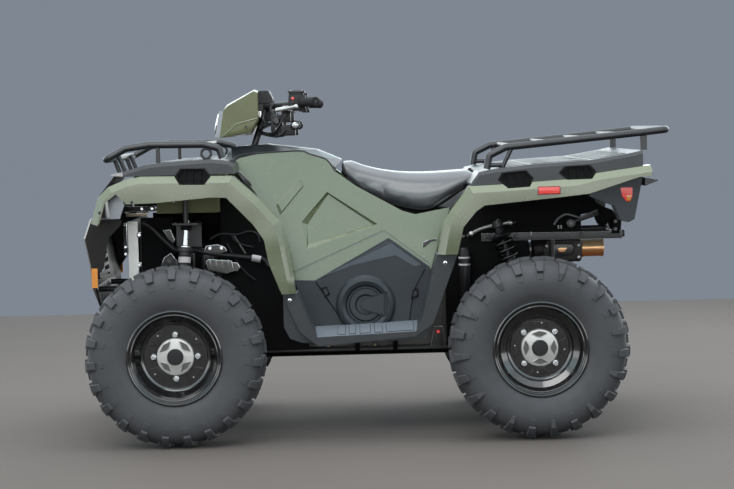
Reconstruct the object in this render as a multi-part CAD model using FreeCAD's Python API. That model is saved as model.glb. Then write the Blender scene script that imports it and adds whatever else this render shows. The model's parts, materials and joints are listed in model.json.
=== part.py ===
import FreeCAD, Part

import math
import os

# A full-size utility quad bike, 1:1, in millimetres.
# X runs rearward, Y to the vehicle's right, Z up.
# The floor is Z = 0 and the origin is the middle of the footprint.

Vector = FreeCAD.Vector

# Overall sizes
wheelbase = 1283.0
front_overhang = 345.5
rear_overhang = 482.0
front_axle_x = -(front_overhang + wheelbase + rear_overhang) / 2 + front_overhang
rear_axle_x = front_axle_x + wheelbase
fit = 0.3
running_fit = 0.05
overrun = 10.0
panel_wall = 4.0
slack = 0.000001

# Wheels
tyre_radius = 320.0
hub_z = tyre_radius
bead_radius = 152.0
front_tyre_width = 203.0
rear_tyre_width = 254.0
front_tyre_y = 508.0
rear_tyre_y = 482.5
tyre_sides = 46
tyre_wall = 14.0
rim_flange_radius = 169.0
rim_wall = 4.0
rim_well_depth = 14.0
disc_radius = 118.0
disc_recess = 62.0
disc_step = 16.0
hub_radius = 65.0
hub_length = 46.0
hub_cap_radius = 27.5
hub_cap_length = 20.0
spindle_radius = 17.5
spindle_reach = 26.0

# Steering geometry
strut_top_z = 776.0
strut_top_y = 330.0
strut_top_back = 34.0
ball_z = 232.0
ball_y = 416.0
ball_back = 1.0
strut_tube_radius = 22.0
strut_rod_radius = 10.0
strut_tube_top_z = 692.0
steering_arm_length = 100.0
steering_arm_z = 415.0
post_lean = 20.0
post_radius = 12.7
post_x = front_axle_x + 279.75
post_x_z = 1075.0
bar_rise = 119.0
bar_top_z = post_x_z + bar_rise
post_top_drop = 4.0
post_top_z = bar_top_z - post_top_drop
post_bottom_z = 440.0
pitman_length = 85.0
pitman_half_gap = 20.0
pitman_wall = 8.0
rod_radius = 7.0
rod_eye_radius = 17.5
stud_radius = 5.0
stud_length = 36.0
eye_slack = 7.0

# Frame tubes
tube_radius = 12.7
brace_radius = 10.0
rail_y = 165.0
rail_z = 292.0
rail_front = 140.0
rail_rear = 125.0
upper_rail_y = 215.0
upper_rear_y = 200.0
upper_rear_z = 699.0
upper_front_z = 780.0
upper_low_z = 668.0
tail_cross_x = rear_axle_x + 326.75
lug_plate = 6.0
arm_spread = 80.0
bush_length = 50.0
bush_radius = 16.0
bush_y = rail_y + tube_radius + bush_radius + fit
bearing_wall = 6.0
bearing_length = 44.0
tray_support_inset = 40.0
engine_mount_inset = 60.0


def at_front(distance):
    return front_axle_x + distance


def at_rear(distance):
    return rear_axle_x + distance


def placed(shares, start_x, start_z, length, height):
    return [(start_x + sx * length, start_z + sz * height) for sx, sz in shares]


def face_xz(points, y):
    wire = Part.makePolygon([Vector(x, y, z) for x, z in points + points[:1]])
    return Part.Face(wire)


def prism(points, y_from, y_to):
    return face_xz(points, y_from).extrude(Vector(0, y_to - y_from, 0))


def block(x_from, x_to, y_from, y_to, z_from, z_to):
    return Part.makeBox(x_to - x_from, y_to - y_from, z_to - z_from, Vector(x_from, y_from, z_from))


def rod(start, end, radius):
    run = end - start
    return Part.makeCylinder(radius, run.Length, start, run)


def thickened(points, wall):
    """Closed outline of an open line of points with a wall on its right-hand side, with mitred corners."""
    inner = []
    for index, (x, z) in enumerate(points):
        normals = []
        for first in (index - 1, index):
            if 0 <= first < len(points) - 1:
                dx = points[first + 1][0] - points[first][0]
                dz = points[first + 1][1] - points[first][1]
                size = math.hypot(dx, dz)
                normals.append((dz / size, -dx / size))
        nx = sum(n[0] for n in normals) / len(normals)
        nz = sum(n[1] for n in normals) / len(normals)
        square = nx * nx + nz * nz
        inner.append((x + wall * nx / square, z + wall * nz / square))
    return points + inner[::-1]


def height_on(line, x):
    for (x1, z1), (x2, z2) in zip(line, line[1:]):
        if min(x1, x2) <= x <= max(x1, x2):
            return z1 + (z2 - z1) * (x - x1) / (x2 - x1)
    return line[-1][1]


def bent_tube(points, radius, bend):
    """Round bar along straight runs, with an arc of the given bend radius at each inner point."""
    edges = []
    last = points[0]
    for before, corner, after in zip(points, points[1:], points[2:]):
        into = (corner - before).normalize()
        out = (after - corner).normalize()
        turn = into.getAngle(out)
        setback = bend * math.tan(turn / 2)
        start = corner - into * setback
        end = corner + out * setback
        toward = (out - into).normalize()
        middle = corner + toward * (bend / math.cos(turn / 2) - bend)
        edges.append(Part.LineSegment(last, start).toShape())
        edges.append(Part.Arc(start, middle, end).toShape())
        last = end
    edges.append(Part.LineSegment(last, points[-1]).toShape())
    section = Part.Face(Part.Wire(Part.makeCircle(radius, points[0], points[1] - points[0])))
    return Part.Wire(edges).makePipe(section)


def fused(shapes):
    result = shapes[0].fuse(shapes[1:]) if len(shapes) > 1 else shapes[0]
    return result.removeSplitter()


def mirrored(shape):
    return shape.mirror(Vector(0, 0, 0), Vector(0, 1, 0))


def pair(shape):
    return Part.makeCompound([shape, mirrored(shape)])


def flat_face(corners):
    return Part.Face(Part.makePolygon(corners + corners[:1]))


def lies_flat(corners):
    first, second, third, last = corners
    normal = (second - first).cross(third - first)
    return abs(normal.dot(last - first)) <= slack * normal.Length


def ruled_loft(sections):
    """Solid of flat faces through sections that have the same number of corners."""
    rings = [[Vector(*point) for point in section] for section in sections]
    faces = [flat_face(rings[0]), flat_face(rings[-1])]
    for near, far in zip(rings, rings[1:]):
        for index in range(len(near)):
            after = (index + 1) % len(near)
            corners = [near[index], near[after], far[after], far[index]]
            if (corners[0] - corners[3]).Length < slack:
                faces.append(flat_face(corners[:3]))
            elif (corners[1] - corners[2]).Length < slack:
                faces.append(flat_face([corners[0], corners[1], corners[3]]))
            elif lies_flat(corners):
                faces.append(flat_face(corners))
            else:
                faces.append(flat_face(corners[:3]))
                faces.append(flat_face([corners[0], corners[2], corners[3]]))
    shell = Part.Shell(faces)
    shell.sewShape()
    solid = Part.makeSolid(shell)
    if solid.Volume < 0:
        solid.reverse()
    return solid


def revolved_y(profile, x, z):
    """Solid turned about the axle line through (x, z); the profile is (radius, y)."""
    wire = Part.makePolygon([Vector(x, y, z + r) for r, y in profile + profile[:1]])
    return Part.Face(wire).revolve(Vector(x, 0, z), Vector(0, 1, 0), 360)


def post_point(z):
    return Vector(post_x + (z - post_x_z) * math.tan(math.radians(post_lean)), 0, z)


def king_pin(side, z):
    share = (z - ball_z) / (strut_top_z - ball_z)
    x = at_front(ball_back + share * (strut_top_back - ball_back))
    y = ball_y + share * (strut_top_y - ball_y)
    return Vector(x, side * y, z)


def king_pin_axis(side):
    return (king_pin(side, strut_top_z) - king_pin(side, ball_z)).normalize()


# Wheels

tyre_bead_share = 0.40
tyre_lug_shares = [(1.0, 0.04), (1.0, 0.36), (0.87, 0.5)]
tyre_groove_shares = [(0.96, 0.04), (0.96, 0.38), (0.87, 0.5)]
tyre_side_shares = [(0.70, 0.5), (0.53, tyre_bead_share), (0.475, tyre_bead_share)]


def tread_profile(y, width, hand):
    """Closed (radius, y) outline of a tyre slice whose lug lies on one side of a rib in the middle."""
    outer = tyre_radius / math.cos(math.pi / tyre_sides)
    lug = [(outer * sr, y + hand * width * sy) for sr, sy in tyre_lug_shares + tyre_side_shares]
    groove = [(outer * sr, y - hand * width * sy) for sr, sy in tyre_groove_shares + tyre_side_shares]
    rib = (outer, y - hand * width * tyre_lug_shares[0][1])
    if hand < 0:
        return groove[::-1] + [rib] + lug
    return lug[::-1] + [rib] + groove


def wheel_point(x, radius, y, turn):
    return Vector(x + radius * math.sin(turn), y, hub_z + radius * math.cos(turn))


def make_tyre(x, y, width):
    """Ring with two staggered rows of lugs: every slice has its lug on the other side from its neighbours."""
    faces = []
    outer = tyre_radius / math.cos(math.pi / tyre_sides)
    for step in range(tyre_sides):
        hand = 1 if step % 2 else -1
        profile = tread_profile(y, width, hand)
        turns = [2 * math.pi * (step + shift - 0.5) / tyre_sides for shift in (0, 1)]
        for (r1, y1), (r2, y2) in zip(profile, profile[1:] + profile[:1]):
            corners = [wheel_point(x, r, w, t) for r, w, t in (
                (r1, y1, turns[0]), (r2, y2, turns[0]), (r2, y2, turns[1]), (r1, y1, turns[1]))]
            faces.append(flat_face(corners))
        for side in (-1, 1):
            wall = tyre_lug_shares + tyre_groove_shares[1::-1]
            ring = [wheel_point(x, outer * sr, y + side * width * sy, turns[1]) for sr, sy in wall]
            faces.append(flat_face(ring))
    shell = Part.Shell(faces)
    shell.sewShape()
    tyre = Part.makeSolid(shell)
    if tyre.Volume < 0:
        tyre.reverse()
    return tyre


def make_rim(x, y, width, side):
    """Pressed steel rim with its disc, hub and cap; side is -1 for the vehicle's left."""
    bead_width = width * tyre_bead_share
    edge = bead_radius - fit
    out = [
        (rim_flange_radius, bead_width + rim_wall + fit),
        (rim_flange_radius, bead_width + fit),
        (edge, bead_width + fit),
        (edge, bead_width - tyre_wall * 2),
        (edge - rim_well_depth, bead_width - tyre_wall * 3),
    ]
    inner_side = [(r, -w) for r, w in out[::-1]]
    barrel_in = [
        (edge - rim_wall, -(bead_width + rim_wall + fit)),
        (edge - rim_wall, -(bead_width - tyre_wall * 2)),
        (edge - rim_well_depth - rim_wall, -(bead_width - tyre_wall * 3)),
        (edge - rim_well_depth - rim_wall, bead_width - tyre_wall * 3),
        (edge - rim_wall, bead_width - tyre_wall * 2),
        (edge - rim_wall, bead_width + rim_wall + fit),
    ]
    barrel = revolved_y([(r, y + side * w) for r, w in out + inner_side + barrel_in], x, hub_z)
    face = bead_width - disc_recess
    disc = [
        (edge - rim_well_depth - rim_wall / 2, face - disc_step),
        (disc_radius, face),
        (hub_radius, face),
        (hub_radius, face + disc_step),
        (hub_cap_radius, face + disc_step),
        (hub_cap_radius, face + disc_step + hub_cap_length),
        (0, face + disc_step + hub_cap_length),
        (0, face - hub_length + spindle_reach),
        (spindle_radius + running_fit, face - hub_length + spindle_reach),
        (spindle_radius + running_fit, face - hub_length),
        (hub_radius, face - hub_length),
        (hub_radius, face - rim_wall),
        (disc_radius, face - rim_wall),
        (edge - rim_well_depth - rim_wall / 2, face - disc_step - rim_wall),
    ]
    centre = revolved_y([(r, y + side * w) for r, w in disc], x, hub_z)
    return fused([barrel, centre])


def hub_back(y, width, side):
    bead_width = width * tyre_bead_share
    return y + side * (bead_width - disc_recess - hub_length)


# Front knuckles and tie rods

carrier_radius = 58.0
carrier_length = 24.0
arm_plate = 16.0
ball_radius = 14.0
arm_eye_length = 22.0


def make_knuckle(side):
    back = hub_back(side * front_tyre_y, front_tyre_width, side) - side * fit
    hub = Vector(front_axle_x, back, hub_z)
    inboard = Vector(0, -side, 0)
    carrier = Part.makeCylinder(carrier_radius, carrier_length, hub, inboard)
    spindle = Part.makeCylinder(spindle_radius, spindle_reach - fit, hub, -inboard)
    neck = rod(hub + inboard * carrier_length / 2, king_pin(side, hub_z), carrier_radius * 0.6)
    axis = king_pin_axis(side)
    tube_foot = king_pin(side, ball_z + ball_radius * 2.2)
    stem = rod(
        king_pin(side, ball_z) + axis * (ball_radius + fit), tube_foot + axis * ball_radius,
        ball_radius * 0.4,
    )
    tube = rod(tube_foot, king_pin(side, strut_tube_top_z), strut_tube_radius)
    collar = Part.makeCylinder(
        strut_tube_radius * 1.35, ball_radius, king_pin(side, strut_tube_top_z) - axis * ball_radius, axis,
    )
    eye = Part.makeCylinder(ball_radius, arm_eye_length, arm_ball(side) - axis * arm_eye_length / 2, axis)
    arm = rod(king_pin(side, steering_arm_z), arm_ball(side), arm_plate / 2)
    return fused([carrier, spindle, neck, tube, stem, collar, arm, eye])


nodes = {}


def save(name, shape):
    nodes[name] = shape


# Tie rods


def arm_ball(side):
    return king_pin(side, steering_arm_z) + Vector(steering_arm_length, 0, 0)


def pitman_stud(side):
    lean = math.radians(post_lean)
    behind = Vector(math.cos(lean), 0, -math.sin(lean)) * pitman_length
    return post_point(post_bottom_z) + behind + Vector(0, side * pitman_half_gap, 0)


def make_tie_rod(side):
    """Rod under the arm's eye; its own eye leaves the pitman arm's stud room to drift."""
    half_foot = rod_radius * 1.5
    turning = king_pin_axis(side)
    outer = arm_ball(side) - turning * (arm_eye_length / 2 + half_foot + fit)
    stud = pitman_stud(side)
    axis = (post_point(post_top_z) - post_point(post_bottom_z)).normalize()
    centre = stud - axis * ((stud.z - outer.z) / axis.z)
    up = Vector(0, 0, 1)
    half_eye = rod_radius * 0.7
    bar = rod(outer, centre + Vector(0, side * (rod_eye_radius - rod_radius / 2), 0), rod_radius)
    foot = Part.makeCylinder(ball_radius, 2 * half_foot, outer - turning * half_foot, turning)
    eye = Part.makeCylinder(rod_eye_radius, 2 * half_eye, centre - up * half_eye, up)
    hole = Part.makeCylinder(stud_radius + eye_slack, 4 * half_eye, centre - up * 2 * half_eye, up)
    return fused([bar, foot, eye]).cut(hole)


# Steering post, handlebar and what it carries

bar_radius = 11.1
grip_radius = 15.5
grip_length = 125.0
bar_end_rise = 12.0
bar_end_z = bar_top_z + bar_end_rise
bar_inner_y = 90.0
bar_bend_y = 235.0
grip_start_y = 272.0
grip_start_x = post_x + 174.0
grip_end_x = post_x + 234.0
bar_end_y = 395.0
bar_bend_radius = 40.0


def bar_points(side):
    top = post_point(bar_top_z)
    return [
        Vector(top.x, 0, bar_top_z),
        Vector(top.x, side * bar_inner_y, bar_top_z),
        Vector(grip_start_x - bar_radius, side * bar_bend_y, bar_end_z),
        Vector(grip_end_x, side * bar_end_y, bar_end_z),
    ]


pod_bracket_width = 80.0
pod_bracket_height = 28.0


def make_handlebar():
    """Steering post with its pitman arm and studs at the foot and the bent bar at the top, welded in one."""
    pieces = [rod(post_point(post_bottom_z), post_point(post_top_z), post_radius)]
    for side in (-1, 1):
        pieces.append(bent_tube(bar_points(side), bar_radius, bar_bend_radius))
    axis = (post_point(post_top_z) - post_point(post_bottom_z)).normalize()
    half_width = pitman_half_gap + post_radius
    plate = Part.makeBox(
        pitman_length + 2 * post_radius, 2 * half_width, pitman_wall, Vector(-post_radius, -half_width, 0),
    )
    plate.rotate(Vector(0, 0, 0), Vector(0, 1, 0), post_lean)
    plate.translate(post_point(post_bottom_z))
    pieces.append(plate)
    for side in (-1, 1):
        top = pitman_stud(side)
        pieces.append(rod(top + axis * pitman_wall / 2, top - axis * stud_length, stud_radius))
    top = post_point(bar_top_z)
    half = pod_bracket_width / 2
    bracket_z = bar_top_z - pod_bracket_height / 2
    pieces.append(block(pod_x + pod_length + fit, top.x, -half, half, bracket_z,
        bracket_z + pod_bracket_height))
    return fused(pieces)


def make_grips():
    grips = []
    for side in (-1, 1):
        points = bar_points(side)
        along = (points[3] - points[2]).normalize()
        end = points[3] + along * fit
        start = points[3] - along * (grip_length - bar_radius)
        outer = Part.makeCylinder(grip_radius, grip_length, start, along)
        bore = Part.makeCylinder(bar_radius, grip_length - bar_radius, start, along)
        grips.append(outer.cut(bore))
    return Part.makeCompound(grips)


pod_half_width = 150.0
pod_x = post_x - 128.2
pod_lift = 7.0
pod_z = post_x_z + pod_lift
pod_length = 143.0
pod_height = 178.0
pod_side_shares = [
    (0.0, 0.0), (0.11, 0.57), (0.22, 0.66), (0.90, 0.96), (1.0, 0.92), (1.0, 0.36), (0.80, 0.10),
]
pod_mid_shares = [
    (0.0, 0.0), (0.11, 0.57), (0.18, 0.70), (0.90, 1.0), (1.0, 0.97), (1.0, 0.36), (0.80, 0.06),
]


def section_at(shares, start_x, start_z, length, height, y):
    return [(x, y, z) for x, z in placed(shares, start_x, start_z, length, height)]


def make_pod():
    sections = []
    for share, shares in (
        (-1.0, pod_side_shares), (-0.4, pod_mid_shares), (0.4, pod_mid_shares), (1.0, pod_side_shares),
    ):
        sections.append(section_at(shares, pod_x, pod_z, pod_length, pod_height, share * pod_half_width))
    shell = ruled_loft(sections)
    room = post_radius + overrun
    post_hole = rod(post_point(pod_z - pod_height), post_point(pod_z + pod_height * 2), room)
    return shell.cut(post_hole)


# Chassis frame


def lug_pair(x, y_from, y_to, z):
    plates = []
    for hand in (-1, 1):
        near = x + hand * (bush_length / 2 + fit)
        far = near + hand * lug_plate
        plates.append(block(min(near, far), max(near, far), min(y_from, y_to), max(y_from, y_to),
            z - bush_radius, z + bush_radius))
    return plates


front_upright_x = at_front(420.0)
tower_dip_x = at_front(-35.0)
tower_dip = 12.0
upper_front_cross_x = at_front(-102.0)
upper_rear_cross_x = at_rear(127.0)
bumper_stub_share = 0.155
cover_post_y = 345.0
tray_support_share = 0.40
seat_post_share = 0.66
seat_post_y = 100.0
tail_post_share = 0.56


def post_y(z):
    return rail_y + (upper_rear_y - rail_y) * (z - rail_z) / (upper_rear_z - rail_z)


rear_upright_x = at_rear(-215.0)
tower_half = 46.0
cross_x = at_front(170.0)
rear_arm_top_z = 440.0
rear_post_near = -75.0
rear_post_far = 80.0


def upper_bush_y():
    return post_y(rear_arm_top_z) + brace_radius + bush_radius + fit


def make_frame():
    front = at_front(-rail_front)
    rear = at_rear(rail_rear)
    parts = []
    for side in (-1, 1):
        loop = [
            Vector(rear, side * rail_y, rail_z),
            Vector(front, side * rail_y, rail_z),
            Vector(front, side * upper_rail_y, upper_front_z),
            Vector(tower_dip_x, side * upper_rail_y, upper_low_z + tower_dip),
            Vector(front_upright_x, side * upper_rear_y, upper_low_z),
            Vector(rear_upright_x, side * upper_rear_y, upper_rear_z),
            Vector(tail_cross_x + tube_radius * 1.5, side * upper_rear_y, upper_rear_z),
        ]
        parts.append(bent_tube(loop, tube_radius, tube_radius * 2))
        for x in (front_upright_x + tube_radius, rear_upright_x + tube_radius):
            parts.append(rod(Vector(x, side * rail_y, rail_z),
                Vector(x, side * upper_rear_y, upper_rail_z(x)), brace_radius))
        for offset in (rear_post_near, rear_post_far):
            foot = Vector(at_rear(offset), side * rail_y, rail_z)
            parts.append(rod(foot, Vector(at_rear(offset), side * upper_rear_y, upper_rear_z),
                brace_radius))
        lug_edge = side * (bush_y + bush_radius)
        for x in (at_front(-arm_spread), at_front(arm_spread)):
            parts.extend(lug_pair(x, side * rail_y, lug_edge, rail_z))
        for x in (at_rear(rear_post_near), at_rear(rear_post_far)):
            parts.extend(lug_pair(x, side * rail_y, lug_edge, rail_z))
            upper_y = post_y(rear_arm_top_z)
            parts.extend(lug_pair(x, side * upper_y, side * (upper_bush_y() + bush_radius), rear_arm_top_z))
            reach = bush_length / 2 + fit + lug_plate
            plate_y = sorted((side * (upper_y - lug_plate / 2), side * (upper_y + lug_plate / 2)))
            parts.append(block(x - reach, x + reach, plate_y[0], plate_y[1], rear_arm_top_z - bush_radius,
                rear_arm_top_z + bush_radius))
        top = king_pin(side, strut_top_z)
        near_y = side * (upper_rail_y - lug_plate / 2)
        far_y = top.y + side * tower_half
        left, right = top.x - tower_half, top.x + tower_half
        parts.append(block(left, right, min(near_y, far_y), max(near_y, far_y), strut_top_z,
            strut_top_z + lug_plate))
        web_y = side * upper_rail_y - lug_plate / 2
        parts.append(block(left, right, web_y, web_y + lug_plate, upper_low_z, strut_top_z + lug_plate / 2))
        axis = king_pin_axis(side)
        parts.append(rod(king_pin(side, strut_tube_top_z) + axis * fit, top + axis * lug_plate / 2,
            strut_rod_radius))
        shock_axis = (shock_top(side) - shock_foot(side)).normalize()
        cap = shock_top(side) + shock_axis * fit
        parts.append(rod(cap, cap + shock_axis * shock_pad, spring_radius / 2))
        bar_z = (cap + shock_axis * shock_pad).z
        hanger = [
            Vector(cap.x, side * upper_rear_y, upper_rear_z),
            Vector(cap.x, side * upper_rear_y, bar_z),
            Vector(cap.x, cap.y, bar_z),
        ]
        parts.append(bent_tube(hanger, brace_radius * 0.8, brace_radius * 1.5))
        parts.extend(panel_supports(side))
    low_cross = [front + tube_radius * 2.5, rear - brace_radius * 2]
    low_cross += [engine_front + engine_mount_inset, engine_rear - engine_mount_inset]
    low_cross += [axle + hand * gearcase_seat() for axle in (front_axle_x, rear_axle_x) for hand in (-1, 1)]
    for x in low_cross:
        parts.append(rod(Vector(x, -rail_y, rail_z), Vector(x, rail_y, rail_z), brace_radius))
    high_cross = [
        upper_front_cross_x, cross_x, rear_upright_x + 3 * tube_radius, upper_rear_cross_x, tail_cross_x,
        seat_post_x(),
    ]
    for x in high_cross:
        y = upper_rail_side(x)
        parts.append(rod(Vector(x, -y, upper_rail_z(x)), Vector(x, y, upper_rail_z(x)), brace_radius))
    for side in (-1, 1):
        foot = Vector(seat_post_x(), side * seat_post_y, upper_rail_z(seat_post_x()))
        parts.append(rod(foot, Vector(foot.x, foot.y, seat_z - fit), brace_radius))
    return fused(parts + steering_bearing()).cut(steering_bore())


def upper_rail_line():
    return [
        (at_front(-rail_front), upper_front_z, upper_rail_y),
        (tower_dip_x, upper_low_z + tower_dip, upper_rail_y),
        (front_upright_x, upper_low_z, upper_rear_y),
        (rear_upright_x, upper_rear_z, upper_rear_y),
        (tail_cross_x + tube_radius, upper_rear_z, upper_rear_y),
    ]


def upper_rail_z(x):
    return height_on([(p[0], p[1]) for p in upper_rail_line()], x)


def upper_rail_side(x):
    return height_on([(p[0], p[2]) for p in upper_rail_line()], x)


def gearcase_seat():
    """Distance from an axle line to the cross tubes that the gearcase sits between."""
    return math.sqrt((gearcase_radius + brace_radius + fit) ** 2 - (hub_z - rail_z) ** 2)


def seat_post_x():
    return seat_x + seat_post_share * seat_length


def bearing_centre():
    """Point on the post's axis that is nearest the cross tube behind it."""
    axis = (post_point(post_top_z) - post_point(post_bottom_z)).normalize()
    cross = Vector(cross_x, 0, upper_rail_z(cross_x))
    return post_point(post_bottom_z) + axis * (cross - post_point(post_bottom_z)).dot(axis)


def steering_bearing():
    """Ring round the steering post on a bracket that is welded to the cross tube."""
    axis = (post_point(post_top_z) - post_point(post_bottom_z)).normalize()
    centre = bearing_centre()
    outer = post_radius + running_fit + bearing_wall
    ring = Part.makeCylinder(outer, bearing_length, centre - axis * bearing_length / 2, axis)
    bracket = rod(centre, Vector(cross_x, 0, upper_rail_z(cross_x)), brace_radius * 0.8)
    return [ring, bracket]


def steering_bore():
    axis = (post_point(post_top_z) - post_point(post_bottom_z)).normalize()
    start = bearing_centre() - axis * bearing_length
    return Part.makeCylinder(post_radius + running_fit, 2 * bearing_length, start, axis)


def panel_supports(side):
    """Stubs and posts of one side that the bumper, the platforms and the footrest tray sit on."""
    parts = []
    stub_z = bumper_z + bumper_stub_share * bumper_height
    leg = at_front(-rail_front)
    leg_y = side * (rail_y + (upper_rail_y - rail_y) * (stub_z - rail_z) / (upper_front_z - rail_z))
    inner = thickened(bumper_line(bumper_centre_shares)[::-1], bumper_wall)[len(bumper_centre_shares):]
    past_nose = max(0, abs(leg_y) + brace_radius - bumper_nose_y) / (bumper_wing_y - bumper_nose_y)
    stub_end = max(height_of(inner, stub_z + hand * brace_radius) for hand in (-1, 1))
    stub_end += fit + past_nose * bumper_wing_sweep
    parts.append(rod(Vector(leg, leg_y, stub_z), Vector(stub_end, leg_y, stub_z), brace_radius))
    tower = king_pin(side, strut_top_z)
    cover_low = underside(front_cover_top(), cover_wall)
    top_z = min(height_on(cover_low, tower.x + hand * brace_radius) for hand in (-1, 1)) - fit
    parts.append(rod(Vector(tower.x, side * cover_post_y, strut_top_z + lug_plate / 2),
                     Vector(tower.x, side * cover_post_y, top_z), brace_radius))
    for share in (tray_support_share, 1 - tray_support_share / 2):
        x = tray_floor_x(share)
        near, far = footwell_y_in + bush_length / 2, footwell_y_out - tray_support_inset
        slope = (tray_z(x, near) - tray_z(x, far)) / (far - near)
        drop = (footwell_wall + fit + brace_radius) * math.hypot(1, slope) + fit
        support = [
            Vector(x, side * rail_y, rail_z),
            Vector(x, side * near, tray_z(x, near) - drop),
            Vector(x, side * far, tray_z(x, far) - drop),
        ]
        parts.append(bent_tube(support, brace_radius, brace_radius * 2))
    rear_low = underside(rear_cover_top(), cover_wall)
    x = rear_cover_x + tail_post_share * rear_cover_length
    top_z = min(height_on(rear_low, x + hand * brace_radius) for hand in (-1, 1)) - fit
    parts.append(rod(Vector(x, side * upper_rear_y, upper_rear_z), Vector(x, side * upper_rear_y, top_z),
        brace_radius))
    return parts


def underside(top, wall):
    """Lower face of a skin of this wall under a top line."""
    return thickened(top, wall)[len(top):][::-1]


def tray_floor_x(share):
    start, end = [p[0] for p in tray_line(footwell_outer_shares)[2:4]]
    return start + share * (end - start)


def make_arm(x_centre, inner_y, inner_z, outer, side, offsets):
    """Wishbone from two bushes on the frame to a ball or pin at the knuckle."""
    parts = []
    for offset in offsets:
        x = x_centre + offset
        bush = Part.makeCylinder(
            bush_radius, bush_length, Vector(x - bush_length / 2, side * inner_y, inner_z),
            Vector(1, 0, 0),
        )
        parts.append(bush)
        parts.append(rod(Vector(x, side * (inner_y + bush_radius / 2), inner_z), outer, tube_radius * 0.8))
    return parts


def make_front_arms():
    arms = []
    for side in (-1, 1):
        ball = king_pin(side, ball_z)
        parts = make_arm(front_axle_x, bush_y, rail_z, ball, side, (-arm_spread, arm_spread))
        parts.append(Part.makeSphere(ball_radius, ball))
        arms.append(fused(parts))
    return Part.makeCompound(arms)


# Rear suspension

rear_low_z = 250.0
rear_high_z = 392.0
rear_joint_y = 352.0
shock_foot_y = 300.0
shock_foot_z = 440.0
shock_top_y = 262.0
shock_top_x = -120.0
shock_top_z = 735.0
shock_pad = 24.0
spring_radius = 38.0
spring_turns = 7


def shock_seat_x():
    """Where the upper arm's front leg passes under the shock's foot."""
    inner = upper_bush_y()
    return rear_post_near * (rear_joint_y - shock_foot_y) / (rear_joint_y - inner)


def shock_foot(side):
    return Vector(at_rear(shock_seat_x()), side * shock_foot_y, shock_foot_z)


def shock_top(side):
    return Vector(at_rear(shock_top_x), side * shock_top_y, shock_top_z)


def make_rear_arms():
    arms = []
    for side in (-1, 1):
        for inner_y, inner_z, outer_z in (
            (bush_y, rail_z, rear_low_z), (upper_bush_y(), rear_arm_top_z, rear_high_z),
        ):
            outer = Vector(rear_axle_x, side * rear_joint_y, outer_z)
            parts = make_arm(rear_axle_x, inner_y, inner_z, outer, side, (rear_post_near, rear_post_far))
            parts.append(Part.makeCylinder(bush_radius, bush_length, outer - Vector(bush_length / 2, 0, 0),
                Vector(1, 0, 0)))
            if inner_z == rear_arm_top_z:
                axis = (shock_top(side) - shock_foot(side)).normalize()
                pad_top = shock_foot(side) - axis * fit
                parts.append(rod(pad_top - axis * shock_pad * 1.6, pad_top, spring_radius / 2))
            arms.append(fused(parts))
    return Part.makeCompound(arms)


def make_rear_knuckle(side):
    back = hub_back(side * rear_tyre_y, rear_tyre_width, side) - side * fit
    hub = Vector(rear_axle_x, back, hub_z)
    inboard = Vector(0, -side, 0)
    carrier = Part.makeCylinder(carrier_radius, carrier_length, hub, inboard)
    spindle = Part.makeCylinder(spindle_radius, spindle_reach - fit, hub, -inboard)
    near = side * (rear_joint_y - bush_radius * 0.4)
    plate = block(rear_axle_x - bush_length / 2, rear_axle_x + bush_length / 2, min(near, back),
        max(near, back),
                  rear_low_z + bush_radius + fit, rear_high_z - bush_radius - fit)
    return fused([carrier, spindle, plate])


def make_shock(side):
    foot = shock_foot(side)
    top = shock_top(side)
    run = (top - foot).normalize()
    length = (top - foot).Length
    profile = [
        (0.0, 0.0), (spring_radius * 0.5, 0.0), (spring_radius * 0.5, length * 0.12),
        (spring_radius, length * 0.12),
    ]
    pitch = length * 0.72 / spring_turns
    for turn in range(spring_turns):
        base = length * 0.14 + turn * pitch
        profile += [
            (spring_radius, base), (spring_radius, base + pitch / 2),
            (spring_radius * 0.78, base + pitch * 0.75),
        ]
    profile += [
        (spring_radius, length * 0.88), (spring_radius * 0.5, length * 0.90),
        (spring_radius * 0.4, length), (0.0, length),
    ]
    face = Part.Face(Part.makePolygon([Vector(r, 0, h) for r, h in profile + profile[:1]]))
    shock = face.revolve(Vector(0, 0, 0), Vector(0, 0, 1), 360)
    shock.Placement = FreeCAD.Placement(foot, FreeCAD.Rotation(Vector(0, 0, 1), run))
    return shock


# Engine and drive

engine_front = at_front(455.0)
engine_rear = at_rear(-285.0)
engine_low = rail_z + brace_radius + fit
engine_high = 640.0
gearcase_radius = 56.0
gearcase_width = 130.0
prop_radius = 16.0
shaft_radius = 13.0
boot_radius = 38.0
boot_length = 70.0
boot_neck_radius = 15.0
front_shaft_end = 330.0


def make_engine():
    half = rail_y - tube_radius - fit
    return block(engine_front, engine_rear, -half, half, engine_low, engine_high)


def make_drive(x, toward, shaft_end):
    """Gearcase on an axle line with its half shafts, boots and the prop shaft to the engine."""
    case = Part.makeCylinder(
        gearcase_radius, gearcase_width, Vector(x, -gearcase_width / 2, hub_z), Vector(0, 1, 0),
    )
    prop = rod(Vector(x, 0, hub_z + prop_radius), Vector(toward, 0, hub_z + prop_radius), prop_radius)
    parts = [case, prop]
    for side in (-1, 1):
        axis = Vector(0, side, 0)
        start = Vector(x, side * gearcase_width * 0.4, hub_z)
        parts.append(Part.makeCylinder(shaft_radius, shaft_end - gearcase_width * 0.4, start, axis))
        for y, radii in (
            (gearcase_width / 2 - fit, (boot_radius, boot_neck_radius)),
            (shaft_end - boot_length, (boot_neck_radius, boot_radius)),
        ):
            parts.append(Part.makeCone(radii[0], radii[1], boot_length, Vector(x, side * y, hub_z), axis))
    return fused(parts)


# Radiator, exhaust, skid plate and hitch

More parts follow.
